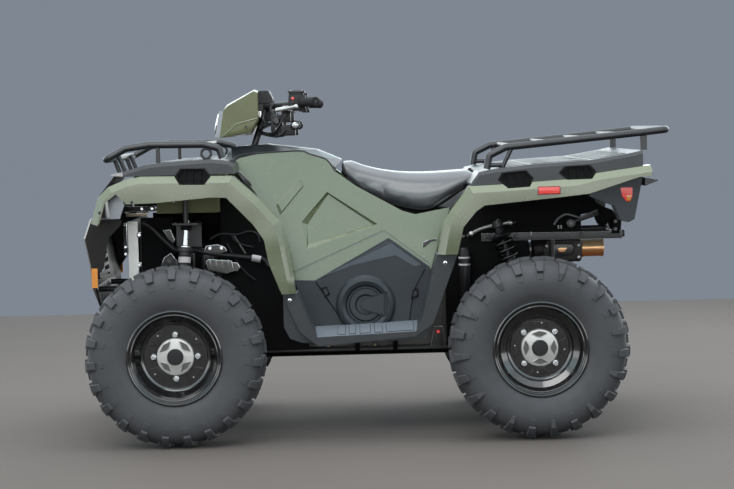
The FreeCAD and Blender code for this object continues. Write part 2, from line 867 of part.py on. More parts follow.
radiator_half_width = 200.0
radiator_depth = 36.0
radiator_low = 566.0
radiator_high = 786.0
tank_width = 34.0
silencer_radius = 52.0
silencer_length = 190.0
silencer_front = at_rear(18.0)
tailpipe_radius = 32.0
tailpipe_length = 82.0
tailpipe_wall = 3.0
skid_wall = 5.0
skid_half_width = 185.0
hitch_wall = 10.0
hitch_width = 90.0
hitch_reach = 120.0
hitch_bore_radius = 10.0


def make_radiator():
    back = at_front(-rail_front) - tube_radius - fit
    front = back - radiator_depth
    core = block(front + radiator_depth * 0.15, back - radiator_depth * 0.15, -radiator_half_width,
        radiator_half_width,
                 radiator_low, radiator_high)
    tanks = [block(front, back, side * radiator_half_width - tank_width / 2,
        side * radiator_half_width + tank_width / 2,
                   radiator_low, radiator_high) for side in (-1, 1)]
    return fused([core] + tanks)


def make_silencer():
    centre_z = upper_rear_z - brace_radius - fit - silencer_radius
    start = Vector(silencer_front, 0, centre_z)
    return Part.makeCylinder(silencer_radius, silencer_length, start, Vector(1, 0, 0))


def make_tailpipe():
    centre_z = upper_rear_z - brace_radius - fit - silencer_radius
    start = Vector(silencer_front + silencer_length + fit, 0, centre_z)
    pipe = Part.makeCylinder(tailpipe_radius, tailpipe_length, start, Vector(1, 0, 0))
    bore = Part.makeCylinder(
        tailpipe_radius - tailpipe_wall, tailpipe_length, start + Vector(lug_plate, 0, 0), Vector(1, 0, 0),
    )
    return pipe.cut(bore)


def make_skid_plate():
    """Flat belly plate with bevelled ends, bolted up against the lower rails."""
    top = rail_z - tube_radius - fit
    front = at_front(arm_spread + bush_length)
    rear = at_rear(rear_post_near - bush_length)
    outline = [
        (front + skid_wall * 4, top - skid_wall),
        (front, top),
        (rear, top),
        (rear - skid_wall * 4, top - skid_wall),
    ]
    return prism(outline, -skid_half_width, skid_half_width)


def make_hitch():
    start = at_rear(rail_rear) - brace_radius * 2 + brace_radius + fit
    top = rail_z + hitch_wall / 2
    plate = block(start, start + hitch_reach, -hitch_width / 2, hitch_width / 2, top - hitch_wall, top)
    bore_x = start + hitch_reach - hitch_width / 2
    bore = Part.makeCylinder(
        hitch_bore_radius, hitch_wall * 3, Vector(bore_x, 0, top - hitch_wall * 2), Vector(0, 0, 1),
    )
    return plate.cut(bore)


# Body panels

front_fender_y = 545.0
fender_flange = 105.0
front_fender_x = at_front(-284.5)
footwell_z = 342.0
footwell_height = 315.0
footwell_front_share = 0.60
footwell_wall = 5.0
tray_front_share = 0.105
tray_rear_share = 0.146
tray_rise = 19.0
front_fender_z = footwell_z + footwell_front_share * footwell_height + fit
front_fender_length = 714.0
front_fender_height = 425.0
fender_wall = 4.0
front_fender_top_shares = [
    (0.00, 0.62), (0.02, 0.74), (0.04, 0.84), (0.09, 0.92), (0.18, 0.98), (0.25, 1.00), (0.70, 0.99),
    (0.83, 0.79),
    (0.93, 0.60), (0.96, 0.40), (0.99, 0.13), (1.00, 0.00),
]
front_fender_low_shares = [
    (0.93, 0.00), (0.87, 0.26), (0.85, 0.45), (0.80, 0.58), (0.67, 0.81), (0.59, 0.815), (0.33, 0.78),
    (0.18, 0.775),
    (0.13, 0.86), (0.075, 0.79), (0.045, 0.62),
]


fender_bevel = 24.0
cover_wall = 8.0
cover_chamfer = 12.0


def make_fender(top_shares, low_shares, x, z, length, height, outer_y, flange):
    """Outer skin with a bevel along its upper edge and a flange that runs inward under the platform."""
    top = placed(top_shares, x, z, length, height)
    low = placed(low_shares, x, z, length, height)
    edge = underside(top, fender_bevel)
    skin = prism(edge + low, -outer_y, -outer_y + fender_wall)
    sections = []
    for y, line in ((-outer_y, edge), (-outer_y + fender_bevel, top)):
        sections.append([(px, y, pz) for px, pz in thickened(line, fender_wall)])
    bevel = ruled_loft(sections)
    crown = prism(thickened(top, fender_wall), -outer_y + fender_bevel, -outer_y + flange)
    below = block(
        x - overrun, x + length + overrun, -outer_y - overrun, -outer_y + flange + overrun,
        z - 3 * overrun, z,
    )
    return cut_vents(fused([skin, bevel, crown]).cut(below))


rear_fender_y = 557.0
rear_fender_x = at_rear(-350.5)
rear_fender_z = footwell_z + footwell_height + fit
rear_fender_length = 752.0
rear_fender_height = 297.0
rear_fender_top_shares = [
    (0.00, 0.00), (0.03, 0.39), (0.06, 0.51), (0.15, 0.80), (0.28, 0.81), (0.65, 0.86), (0.75, 0.92),
    (1.00, 1.00),
]
rear_fender_low_shares = [
    (1.00, 0.87), (0.94, 0.86), (0.71, 0.68), (0.59, 0.65), (0.22, 0.57), (0.18, 0.50), (0.12, 0.32),
    (0.09, 0.00),
]

front_cover_x = at_front(-233.0)
front_cover_length = 453.0
front_cover_y = 520.0
front_cover_z = 957.5
front_cover_height = 54.0
front_cover_shares = [
    (0.00, 0.00), (0.14, 0.30), (0.31, 0.70), (0.39, 0.80), (0.83, 1.00), (0.96, 0.85), (1.00, 0.00),
]
rear_cover_x = at_rear(-229.5)
rear_cover_length = 606.0
rear_cover_y = 520.0
rear_cover_z = 905.0
rear_cover_height = 101.0
rear_cover_shares = [
    (0.00, 0.05), (0.05, 0.38), (0.15, 0.48), (0.35, 0.60), (0.70, 0.70), (0.93, 0.91), (1.00, 1.00),
]


def corner_wedge(line, half_width, side):
    """Long wedge that bevels a platform's upper edge along its top line."""
    sections = []
    for x, z in line:
        far = side * (half_width + overrun)
        rise = cover_chamfer + overrun
        sections.append([(x, far, z - rise), (x, side * (half_width - rise), z + overrun),
            (x, far, z + overrun)])
    return ruled_loft(sections)


def nose_corner(x, side, reach, inset, half_width):
    """Upright wedge that takes a platform's front corner off in plan."""
    near = half_width - inset
    points = [
        (x - overrun, near - inset * overrun / reach),
        (x + reach + overrun, half_width + inset * overrun / reach),
    ]
    outline = [Vector(px, side * py, 0) for px, py in points]
    outline.append(Vector(x - overrun, side * (half_width + inset), 0))
    return outline


def make_cover(top, bottom, half_width, wall, nose_reach=0, nose_inset=0):
    """Moulded platform: a skin over the top line with closed sides and bevelled edges, open below."""
    solid = prism(top + bottom[::-1], -half_width, half_width)
    inner = thickened(top, wall)[len(top):][::-1]
    inner = [(inner[0][0] + wall, inner[0][1])] + inner[1:-1] + [(inner[-1][0] - wall, inner[-1][1])]
    floor = [(x, z - overrun) for x, z in bottom]
    floor = [(floor[0][0] + wall, floor[0][1])] + floor[1:-1] + [(floor[-1][0] - wall, floor[-1][1])]
    hollow = prism(inner + floor[::-1], -half_width + wall, half_width - wall)
    line = [(top[0][0] - overrun, top[0][1])] + top + [(top[-1][0] + overrun, top[-1][1])]
    for side in (-1, 1):
        solid = solid.cut(corner_wedge(line, half_width, side))
        if nose_reach:
            low = min(z for _, z in bottom) - 2 * overrun
            rise = Vector(0, 0, max(z for _, z in top) - low + overrun)
            for body, back in ((solid, 0), (hollow, 2 * wall)):
                corner = [p + Vector(back, 0, low) for p in nose_corner(top[0][0], side, nose_reach,
                    nose_inset, half_width)]
                wedge = Part.Face(Part.makePolygon(corner + corner[:1])).extrude(rise)
                if back:
                    hollow = hollow.cut(wedge)
                else:
                    solid = solid.cut(wedge)
    return solid.cut(hollow)


front_vent_shares = [
    (0.544, -0.08), (0.590, 0.43), (0.782, 0.40), (0.824, -0.12), (0.778, -0.65), (0.586, -0.61),
]
rear_vent_shares = [
    [(0.156, 0.080), (0.181, 0.330), (0.323, 0.400), (0.364, 0.120), (0.338, -0.165), (0.212, -0.205)],
    [(0.510, 0.280), (0.543, 0.500), (0.693, 0.530), (0.729, 0.290), (0.698, 0.055), (0.556, 0.040)],
]
vent_setback = 2.0
vent_depth = 19.5
vent_wall = 4.0
vent_slack_share = 0.985
vent_ribs = 3


def vent_outlines():
    """Six-cornered vents in the platforms' sides, each with its platform's and fender's half width."""
    front = placed(front_vent_shares, front_cover_x, front_cover_z, front_cover_length, front_cover_height)
    outlines = [(front, front_cover_y, front_fender_y)]
    for shares in rear_vent_shares:
        rear = placed(shares, rear_cover_x, rear_cover_z, rear_cover_length, rear_cover_height)
        outlines.append((rear, rear_cover_y, rear_fender_y))
    return outlines


def shrunk(points, share):
    middle_x = sum(p[0] for p in points) / len(points)
    middle_z = sum(p[1] for p in points) / len(points)
    return [(middle_x + (x - middle_x) * share, middle_z + (z - middle_z) * share) for x, z in points]


def cut_vents(shape):
    """Takes the vents' room out of a panel on both sides."""
    for outline, cover_y, fender_y in vent_outlines():
        for side in (-1, 1):
            shape = shape.cut(prism(outline, side * (fender_y + overrun),
                side * (cover_y - vent_depth - fit)))
    return shape


def make_vents():
    vents = []
    for outline, cover_y, _ in vent_outlines():
        face = cover_y - vent_setback
        edge = shrunk(outline, vent_slack_share)
        height = max(p[1] for p in edge) - min(p[1] for p in edge)
        room = shrunk(edge, 1 - 2 * vent_wall / height)
        length = max(p[0] for p in room) - min(p[0] for p in room)
        for side in (-1, 1):
            cup = prism(edge, side * face, side * (cover_y - vent_depth))
            cup = cup.cut(prism(room, side * face, side * (cover_y - vent_depth + vent_wall)))
            ribs = []
            low = min(p[1] for p in room) - overrun
            high = max(p[1] for p in room) + overrun
            for rib in range(vent_ribs):
                x = min(p[0] for p in room) + (rib + 1) * length / (vent_ribs + 1)
                bar = block(x - vent_wall / 2, x + vent_wall / 2, -face, -face + vent_depth, low, high)
                ribs.append(bar)
            deep = prism(room, side * (face - vent_wall), side * (cover_y - vent_depth + vent_wall / 2))
            for rib in ribs:
                cup = cup.fuse(deep.common(rib if side < 0 else mirrored(rib)))
            vents.append(cup.removeSplitter())
    return Part.makeCompound(vents)


def front_cover_top():
    return placed(front_cover_shares, front_cover_x, front_cover_z, front_cover_length, front_cover_height)


def rear_cover_top():
    return placed(rear_cover_shares, rear_cover_x, rear_cover_z, rear_cover_length, rear_cover_height)


front_cover_nose_reach = 66.0
front_cover_nose_inset = 190.0


def make_front_cover():
    top = front_cover_top()
    top = top[:-1] + [(top[-1][0], top[-2][1] - overrun)]
    bottom = [(top[0][0], front_cover_z - fit / 2), (top[-1][0], front_cover_z - fit / 2)]
    top[0] = (top[0][0], front_cover_z + panel_wall)
    cover = make_cover(
        top, bottom, front_cover_y, cover_wall, front_cover_nose_reach, front_cover_nose_inset,
    )
    dash_notch = side_panel_y(front_cover_z) + 2 * fit
    notch = block(centre_cover_x - fit * 2, top[-1][0] + overrun, -dash_notch, dash_notch,
        front_cover_z - overrun * 2,
                  front_cover_z + front_cover_height * 2)
    return cut_vents(cover.cut(notch))


def make_rear_cover():
    top = rear_cover_top()
    fender = rear_fender_top()
    bottom = []
    for x in [top[0][0]] + [p[0] for p in fender if top[0][0] < p[0] < top[-1][0]] + [top[-1][0]]:
        bottom.append((x, height_on(fender, x) + fit))
    top[0] = (top[0][0], bottom[0][1] + cover_wall)
    cover = make_cover(top, bottom, rear_cover_y, cover_wall)
    seat_notch = max(half for _, half, _, _ in seat_stations) + seat_clearance
    notch = block(rear_cover_x - overrun, seat_x + seat_length + fit, -seat_notch, seat_notch,
        rear_cover_z - overrun * 2,
                  rear_cover_z + rear_cover_height)
    return cut_vents(cover.cut(notch))


side_panel_x = at_front(200.0)
side_panel_z = 584.0
side_panel_length = at_rear(-293.0) - side_panel_x
side_panel_height = 446.0
side_panel_low_y = 274.0
side_panel_wall = 12.0
side_panel_shares = [
    (0.00, 0.91), (0.03, 0.95), (0.11, 0.98), (0.30, 1.00), (0.43, 0.94), (0.47, 0.83), (0.57, 0.70),
    (0.78, 0.49), (0.84, 0.46),
    (1.00, 0.51), (0.905, 0.01), (0.885, 0.02), (0.715, 0.25), (0.369, -0.092), (0.277, -0.087),
    (0.26, 0.00), (0.21, 0.41),
]
side_seam_shares = [
    (0.25, 0.00), (0.27, 0.016), (0.693, 0.339), (0.90, 0.058), (1.02, -0.15), (0.20, -0.15),
]
side_pocket_shares = [(0.434, 0.659), (0.664, 0.386), (0.335, 0.200), (0.314, 0.419)]
side_pocket_floor_shares = [(0.439, 0.641), (0.644, 0.388), (0.341, 0.238), (0.340, 0.399)]
side_ridge_shares = [(0.320, 0.798), (0.340, 0.731), (0.207, 0.455), (0.187, 0.549)]
side_ridge_top_share = 0.72
side_seam_step = 4.0
side_pocket_depth = 9.0
side_ridge_height = 5.0


def side_panel_high_y():
    return centre_cover_half_width + side_panel_wall + fit


def side_panel_y(z):
    """How far out the leaning panel's face is at a height."""
    share = (z - side_panel_z) / side_panel_height
    return side_panel_low_y + share * (side_panel_high_y() - side_panel_low_y)


def flat_loft(lower, lower_y, upper, upper_y):
    return ruled_loft([[(x, lower_y, z) for x, z in lower], [(x, upper_y, z) for x, z in upper]])


def make_side_panel():
    """Leaning panel with a lowered strip along its foot, a sunk triangle and a raised band."""
    rise = math.hypot(side_panel_height, side_panel_low_y - side_panel_high_y())

    def outline(shares):
        return placed(shares, side_panel_x, side_panel_z, side_panel_length, rise)

    plate = prism(outline(side_panel_shares), 0, side_panel_wall)
    plate = plate.cut(prism(outline(side_seam_shares), -overrun, side_seam_step))
    plate = plate.cut(flat_loft(outline(side_pocket_shares), 0, outline(side_pocket_floor_shares),
        side_pocket_depth))
    band = outline(side_ridge_shares)
    plate = fused([plate, flat_loft(band, side_ridge_height, shrunk(band, side_ridge_top_share),
        -side_ridge_height)])
    lean = math.degrees(math.asin((side_panel_low_y - side_panel_high_y()) / rise))
    plate.rotate(Vector(0, 0, side_panel_z), Vector(1, 0, 0), -lean)
    plate.translate(Vector(0, -side_panel_low_y, 0))
    return plate


lower_panel_x = at_front(418.0)
lower_panel_z = footwell_z + tray_front_share * footwell_height + tray_rise / 2
lower_panel_length = at_rear(-372.0) - lower_panel_x
lower_panel_top_z = 708.0
lower_panel_height = lower_panel_top_z - lower_panel_z
lower_panel_y = 290.0
lower_panel_shares = [
    (0.00, 0.55), (0.15, 0.54), (0.70, 1.00), (1.00, 0.66), (0.98, 0.38), (0.95, 0.00), (0.11, 0.00),
]
lower_pad_shares = [(0.145, 0.525), (0.69, 0.965), (0.97, 0.65), (0.88, 0.40), (0.84, 0.03), (0.355, 0.03)]
lower_pad_height = 6.0
lower_pad_top_share = 0.965
clutch_share = 0.519
clutch_x = lower_panel_x + clutch_share * lower_panel_length
clutch_z = 468.0
clutch_radius = 108.0
clutch_height = 22.0


def make_lower_panel():
    """Flat panel with a raised belt housing cover on it."""
    outline = placed(
        lower_panel_shares, lower_panel_x, lower_panel_z, lower_panel_length, lower_panel_height,
    )
    pad = placed(lower_pad_shares, lower_panel_x, lower_panel_z, lower_panel_length, lower_panel_height)
    plate = prism(outline, -lower_panel_y, -lower_panel_y + panel_wall)
    raised = flat_loft(
        pad, -lower_panel_y + panel_wall / 2, shrunk(pad, lower_pad_top_share),
        -lower_panel_y - lower_pad_height,
    )
    return fused([plate, raised])


clutch_profile_shares = [
    (0.0, 0.35), (0.30, 0.35), (0.36, 0.62), (0.52, 0.62), (0.57, 0.30), (0.62, 0.30), (0.68, 0.80),
    (0.80, 1.0),
    (0.92, 0.86), (1.0, 0.40), (1.0, 0.0), (0.0, 0.0),
]
clutch_tongue_shares = [(-0.12, 0.13), (-0.17, 0.0), (-0.12, -0.13), (0.62, -0.36), (0.62, 0.36)]
clutch_notch_share = 1.25


def make_clutch_cover():
    """Round cover with a domed rim, an inner ring open to the rear and a tapered tongue."""
    face = -lower_panel_y - lower_pad_height - fit
    profile = [(r * clutch_radius, face - h * clutch_height) for r, h in clutch_profile_shares]
    disc = revolved_y(profile, clutch_x, clutch_z)
    tongue = placed(clutch_tongue_shares, clutch_x, clutch_z, clutch_radius, clutch_radius)
    low = clutch_profile_shares[0][1] * clutch_height
    notch = prism(shrunk(tongue, clutch_notch_share), face - low, face - clutch_height * 2)
    bar = prism(tongue, face - low / 2, face - clutch_height)
    ends = [clutch_x - clutch_radius * 2, clutch_x + clutch_radius * 2]
    floor = [(x, tray_z(x, footwell_y_in) + fit) for x in ends]
    sill = prism(floor + [(ends[1], 0), (ends[0], 0)], -lower_panel_y - clutch_height * 3, 0)
    return fused([disc.cut(notch), bar]).cut(sill)


centre_cover_x = at_front(168.5)
centre_cover_length = 428.0
centre_cover_half_width = 190.0
centre_cover_z = 966.0
centre_cover_height = 98.0
centre_edge_shares = [(0.07, 0.27), (0.13, 0.43), (0.27, 0.56), (0.63, 0.66), (0.86, 0.38), (0.95, 0.0)]
centre_mid_shares = [(0.00, 0.42), (0.05, 0.82), (0.12, 0.87), (0.36, 0.93), (0.79, 0.68), (1.00, 0.28)]


def make_centre_cover():
    sections = []
    for share, shares in (
        (-1.0, centre_edge_shares), (-0.55, centre_mid_shares), (0.55, centre_mid_shares),
        (1.0, centre_edge_shares),
    ):
        line = placed(shares, centre_cover_x, centre_cover_z, centre_cover_length, centre_cover_height)
        outline = line + [(px, pz - panel_wall) for px, pz in line[::-1]]
        sections.append([(px, share * centre_cover_half_width, pz) for px, pz in outline])
    skin = ruled_loft(sections)
    room = post_radius + overrun
    return skin.cut(rod(post_point(centre_cover_z - centre_cover_height),
        post_point(centre_cover_z + centre_cover_height * 2), room))


seat_x = centre_cover_x + centre_cover_length + fit
seat_length = at_rear(-191.2) - seat_x
seat_z = 800.0
seat_height = 194.0
seat_clearance = 4.0
seat_stations = [
    (-0.035, 96.0, 0.78, 0.93), (-0.0015, 96.0, 0.78, 0.93), (0.00, 105.0, 0.72, 1.00),
    (0.15, 120.0, 0.40, 0.86), (0.30, 140.0, 0.18, 0.76), (0.48, 168.0, 0.02, 0.70),
    (0.66, 185.0, 0.00, 0.69), (0.85, 190.0, 0.30, 0.71), (1.00, 182.0, 0.55, 0.72),
]
seat_round_shares = [
    (-1.0, 0.0), (-1.0, 0.62), (-0.82, 0.90), (-0.4, 1.0), (0.4, 1.0), (0.82, 0.90), (1.0, 0.62),
    (1.0, 0.0),
]


def make_seat():
    sections = []
    for along, half, low, high in seat_stations:
        x = seat_x + along * seat_length
        bottom = seat_z + low * seat_height
        top = seat_z + high * seat_height
        sections.append([(x, half * sy, bottom + sz * (top - bottom)) for sy, sz in seat_round_shares])
    return ruled_loft(sections)


footwell_y_out = 520.0
footwell_y_in = 330.0
footwell_x = at_front(382.5)
footwell_length = at_rear(-281.5) - footwell_x
footwell_outer_shares = [
    (0.081, footwell_front_share), (0.150, 0.26), (0.190, tray_front_share), (0.755, tray_rear_share),
    (0.790, 0.28), (0.884, 1.00),
]
footwell_low_shares = [
    (1.00, 1.00), (0.853, 0.225), (0.75, 0.085), (0.197, 0.00), (0.092, 0.164), (0.00, 0.57),
    (0.00, footwell_front_share),
]
front_chin_shares = [
    (0.00, 0.57), (0.00, 0.22), (0.033, 0.09), (0.10, 0.04), (0.25, 0.03), (0.26, 0.06), (0.197, 0.07),
    (0.155, 0.22), (0.085, 0.58),
]
rear_chin_shares = [
    (0.60, 0.035), (0.81, 0.055), (0.85, 0.20), (0.80, 0.29), (0.787, 0.27), (0.757, 0.148), (0.60, 0.137),
]
chin_inset = 24.0
tray_pad_shares = [(0.20, 0.29), (0.315, 0.395), (0.425, 0.545), (0.575, 0.665), (0.695, 0.985)]
tray_pad_inset = 16.0
tray_pad_height = 3.0


def tray_line(shares):
    return placed(shares, footwell_x, footwell_z, footwell_length, footwell_height)


def crossing(first, second, third, last):
    """Where the line through two points meets the line through two others."""
    ax, az = second[0] - first[0], second[1] - first[1]
    bx, bz = last[0] - third[0], last[1] - third[1]
    share = ((third[0] - first[0]) * bz - (third[1] - first[1]) * bx) / (ax * bz - az * bx)
    return (first[0] + share * ax, first[1] + share * az)


def inner_tray_line():
    """The tray's line at its inner side, where the floor stands higher between the same two legs."""
    outer = tray_line(footwell_outer_shares)
    floor = [(x, z + tray_rise) for x, z in outer[2:4]]
    front = crossing(outer[1], outer[2], floor[0], floor[1])
    rear = crossing(outer[3], outer[4], floor[0], floor[1])
    return outer[:2] + [front, rear] + outer[4:]


def tray_z(x, y):
    """Height of the sloping footrest's top face."""
    across = (footwell_y_out - y) / (footwell_y_out - footwell_y_in)
    (x1, z1), (x2, z2) = tray_line(footwell_outer_shares)[2:4]
    return z1 + (z2 - z1) * (x - x1) / (x2 - x1) + across * tray_rise


def tray_pad(start, end):
    """Raised tread pad on the footrest."""
    sections = []
    for y in (footwell_y_out - tray_pad_inset, footwell_y_in + tray_pad_inset):
        left, right = tray_floor_x(start), tray_floor_x(end)
        sections.append([
            (left, -y, tray_z(left, y) - footwell_wall / 2),
            (right, -y, tray_z(right, y) - footwell_wall / 2),
            (right - tray_pad_height, -y, tray_z(right, y) + tray_pad_height),
            (left + tray_pad_height, -y, tray_z(left, y) + tray_pad_height),
        ])
    return ruled_loft(sections)


def make_footwell():
    """Footguard and footrest: outer skin, tray sloping down outward, tread pads and chins."""
    outer = tray_line(footwell_outer_shares)
    inner = inner_tray_line()
    skin = prism(outer + tray_line(footwell_low_shares), -footwell_y_out, -footwell_y_out + footwell_wall)
    tray = ruled_loft([
        [(x, -footwell_y_out, z) for x, z in thickened(outer, footwell_wall)],
        [(x, -footwell_y_in, z) for x, z in thickened(inner, footwell_wall)],
    ])
    bridge = prism(
        thickened(inner[2:4], footwell_wall), -footwell_y_in, -lower_panel_y - lower_pad_height - fit,
    )
    parts = [skin, tray, bridge]
    for shares in (front_chin_shares, rear_chin_shares):
        parts.append(prism(tray_line(shares), -footwell_y_out + chin_inset,
            -footwell_y_out + chin_inset + footwell_wall))
    for start, end in tray_pad_shares:
        parts.append(tray_pad(start, end))
    above = block(footwell_x - overrun, footwell_x + footwell_length / 2, -footwell_y_out - overrun,
        -footwell_y_in + overrun,
                  footwell_z + footwell_front_share * footwell_height, footwell_z + footwell_height)
    return fused(parts).cut(above)


bumper_z = 478.0
bumper_height = 400.0
bumper_x = at_front(-345.5)
bumper_depth = 173.0
bumper_wall = 5.0
bumper_nose_y = 190.0
bumper_wing_y = 325.0
grille_half_width = 150.0
grille_low_share = 0.24
grille_high_share = 0.60
bumper_side_y = 400.0
bumper_top_share = (front_cover_z - fit * 1.5 - bumper_z) / bumper_height
bumper_centre_shares = [
    (0.65, bumper_top_share), (0.28, 1.00), (0.14, 0.81), (0.00, 0.64), (0.10, 0.42), (0.16, 0.18),
    (0.31, 0.00),
]
bumper_wing_shares = [(0.60, 0.82), (0.14, 0.81), (0.00, 0.64), (0.10, 0.42), (0.16, 0.18), (0.31, 0.00)]
bumper_side_shares = [(0.60, 0.82), (0.20, 0.81), (0.06, 0.64), (0.16, 0.42), (0.19, 0.32), (0.22, 0.25)]
bumper_side_back_shares = [
    (0.30, 0.26), (0.50, 0.38), (0.55, 0.50), (0.60, 0.64), (0.88, 0.76), (0.90, 0.805),
]
bumper_wing_sweep = 8.0
bumper_side_sweep = 12.0


def bumper_line(shares, sweep=0.0):
    return [(x + sweep, z) for x, z in placed(shares, bumper_x, bumper_z, bumper_depth, bumper_height)]


def make_bumper():
    centre_line = bumper_line(bumper_centre_shares)
    nose = prism(thickened(centre_line[::-1], bumper_wall), -bumper_nose_y, bumper_nose_y)
    window = block(bumper_x - overrun, bumper_x + bumper_depth, -grille_half_width, grille_half_width,
                   bumper_z + grille_low_share * bumper_height,
                   bumper_z + grille_high_share * bumper_height)
    parts = [nose.cut(window)]
    for side in (-1, 1):
        sections = []
        for y, line in (
            (bumper_nose_y - bumper_wall, bumper_line(bumper_wing_shares)),
            (bumper_wing_y, bumper_line(bumper_wing_shares, bumper_wing_sweep)),
            (bumper_side_y, bumper_line(bumper_side_shares, bumper_side_sweep)),
        ):
            outline = thickened(line[::-1], bumper_wall)
            sections.append([(x, side * y, z) for x, z in outline])
        parts.append(ruled_loft(sections))
        edge = bumper_line(bumper_side_shares, bumper_side_sweep) + bumper_line(bumper_side_back_shares)
        y = side * bumper_side_y
        parts.append(prism(edge, y - side * bumper_wall, y))
    return fused(parts)


headlight_inner_shares = [(0.00, 0.00), (0.02, 0.56), (0.20, 0.90), (0.60, 1.00), (0.60, 0.00)]
headlight_outer_shares = [(0.50, 0.00), (0.42, 0.70), (0.80, 1.00), (1.00, 0.55), (0.82, 0.00)]
headlight_x = at_front(-278.0)
headlight_z = bumper_z + 0.82 * bumper_height + fit
headlight_length = 104.0
headlight_height = 96.0
headlight_inner_y = 194.0
headlight_outer_y = 434.0


def make_headlight():
    inner = placed(headlight_inner_shares, headlight_x, headlight_z, headlight_length, headlight_height)
    outer = placed(headlight_outer_shares, headlight_x, headlight_z, headlight_length, headlight_height)
    return ruled_loft([
        [(x, -headlight_inner_y, z) for x, z in inner],
        [(x, -headlight_outer_y, z) for x, z in outer],
    ])


# Grille, liner, reflectors, tail

grille_slats = 5
grille_bar = 9.0


def nose_line(low_share, high_share, inset):
    """The nose's slanting inner face between two heights, moved inward by an inset."""
    outer = bumper_line(bumper_centre_shares)[::-1]
    line = thickened(outer, bumper_wall)[len(outer):]
    low = bumper_z + low_share * bumper_height
    high = bumper_z + high_share * bumper_height
    inside = [p for p in line if low < p[1] < high]
    points = [(height_of(line, high), high)] + inside + [(height_of(line, low), low)]
    return [(x + inset, z) for x, z in points]


def height_of(line, z):
    """X where the line passes a height."""
    return height_on([(pz, px) for px, pz in line], z)


def make_grille():
    """Slats behind the nose's window, between two side bars."""
    low = bumper_z + grille_low_share * bumper_height
    high = bumper_z + grille_high_share * bumper_height
    front = nose_line(grille_low_share, grille_high_share, fit)
    back = [(x + grille_bar * 1.5, z) for x, z in front]
    outline = front + back[::-1]
    parts = []
    for side in (-1, 1):
        y = side * (grille_half_width + grille_bar / 2)
        parts.append(prism(outline, y - grille_bar, y + grille_bar))
    filled = prism(outline, -grille_half_width, grille_half_width)
    pitch = (high - low) / grille_slats
    for slat in range(grille_slats):
        z = low + (slat + 0.5) * pitch
        band = block(
            bumper_x, bumper_x + bumper_depth, -grille_half_width, grille_half_width, z - pitch * 0.22,
            z + pitch * 0.22,
        )
        parts.append(filled.common(band))
    return fused(parts)


liner_x = at_front(-73.0)
liner_length = 224.0
liner_half_width = 300.0
liner_z = 816.0


def make_liner():
    top = height_on(underside(front_cover_top(), cover_wall), liner_x) - fit
    tub = block(liner_x, liner_x + liner_length, -liner_half_width, liner_half_width, liner_z, top)
    room = block(liner_x + panel_wall, liner_x + liner_length - panel_wall, -liner_half_width + panel_wall,
                 liner_half_width - panel_wall, liner_z + panel_wall, top)
    return tub.cut(room)


reflector_wall = 5.0
front_reflector_x = at_front(-303.0)
front_reflector_length = 22.0
front_reflector_z = 560.0
front_reflector_height = 70.0


def make_front_reflector():
    y = bumper_side_y + fit
    return block(front_reflector_x, front_reflector_x + front_reflector_length, -y - reflector_wall, -y,
                 front_reflector_z, front_reflector_z + front_reflector_height)


tail_y_out = 500.0
tail_y_in = 400.0
tail_shares = [
    (0.00, 0.64), (0.97, 0.64), (0.78, 0.07), (0.68, 0.00), (0.54, 0.04), (0.44, 0.37), (0.01, 0.60),
]
tail_x = at_rear(186.5)
tail_z = 753.0
tail_length = 204.0
tail_height = 157.0


def rear_fender_top():
    return placed(
        rear_fender_top_shares, rear_fender_x, rear_fender_z, rear_fender_length, rear_fender_height,
    )


def make_tail_housing():
    points = placed(tail_shares, tail_x, tail_z, tail_length, tail_height)
    top = rear_fender_top()
    drop = fender_wall * 1.05 + fit
    points[0] = (points[0][0], height_on(top, points[0][0]) - drop)
    points[1] = (points[1][0], height_on(top, points[1][0]) - drop)
    bend = placed(
        [rear_fender_top_shares[6]], rear_fender_x, rear_fender_z, rear_fender_length, rear_fender_height,
    )[0]
    corner = (bend[0], bend[1] - drop)
    return prism([points[0], corner] + points[1:], -tail_y_out, -tail_y_in)


tail_lip_length = 46.0
tail_lip_low_z = 880.0
tail_lip_high_z = 910.0
tail_lip_tip_z = 901.0


def make_tail_panel():
    """Panel across the tail between the housings, with a lip that stands out behind them."""
    start = tail_x + tail_shares[1][0] * tail_length + fit
    outline = [
        (start, tail_lip_low_z), (start + tail_lip_length, tail_lip_tip_z - fender_wall),
        (start + tail_lip_length, tail_lip_tip_z),
        (start, tail_lip_high_z),
    ]
    lip = prism(outline, -tail_y_out, tail_y_out)
    tongue = block(
        start - tail_lip_length, start + fender_wall, -tail_y_in + fit, tail_y_in - fit, tail_lip_low_z,
        tail_lip_high_z,
    )
    return fused([lip, tongue])


lens_x = at_rear(298.0)
lens_length = 42.0
lens_z = 826.0
lens_height = 50.0
side_reflector_x = at_rear(4.0)
side_reflector_length = 74.0
side_reflector_z = 863.0
side_reflector_height = 23.0


def make_lenses():
    y = tail_y_out + fit
    tail = block(lens_x, lens_x + lens_length, -y - reflector_wall, -y, lens_z, lens_z + lens_height)
    side_y = rear_fender_y + fit
    side = block(side_reflector_x, side_reflector_x + side_reflector_length, -side_y - reflector_wall,
        -side_y,
                 side_reflector_z, side_reflector_z + side_reflector_height)
    both = [tail, mirrored(tail), side, mirrored(side)]
    return Part.makeCompound(both)


# Inner guards of the wheel houses

guard_wall = 3.0
guard_low_z = rail_z + tube_radius + fit
guard_front_top_z = 900.0
guard_front_mid_z = 480.0
guard_front_nose_top_z = 800.0
guard_hip_z = 700.0
guard_rear_top_z = 895.0
guard_rear_mid_z = 472.0
guard_rail_lap = 9.0
guard_hip_lift = 4.0


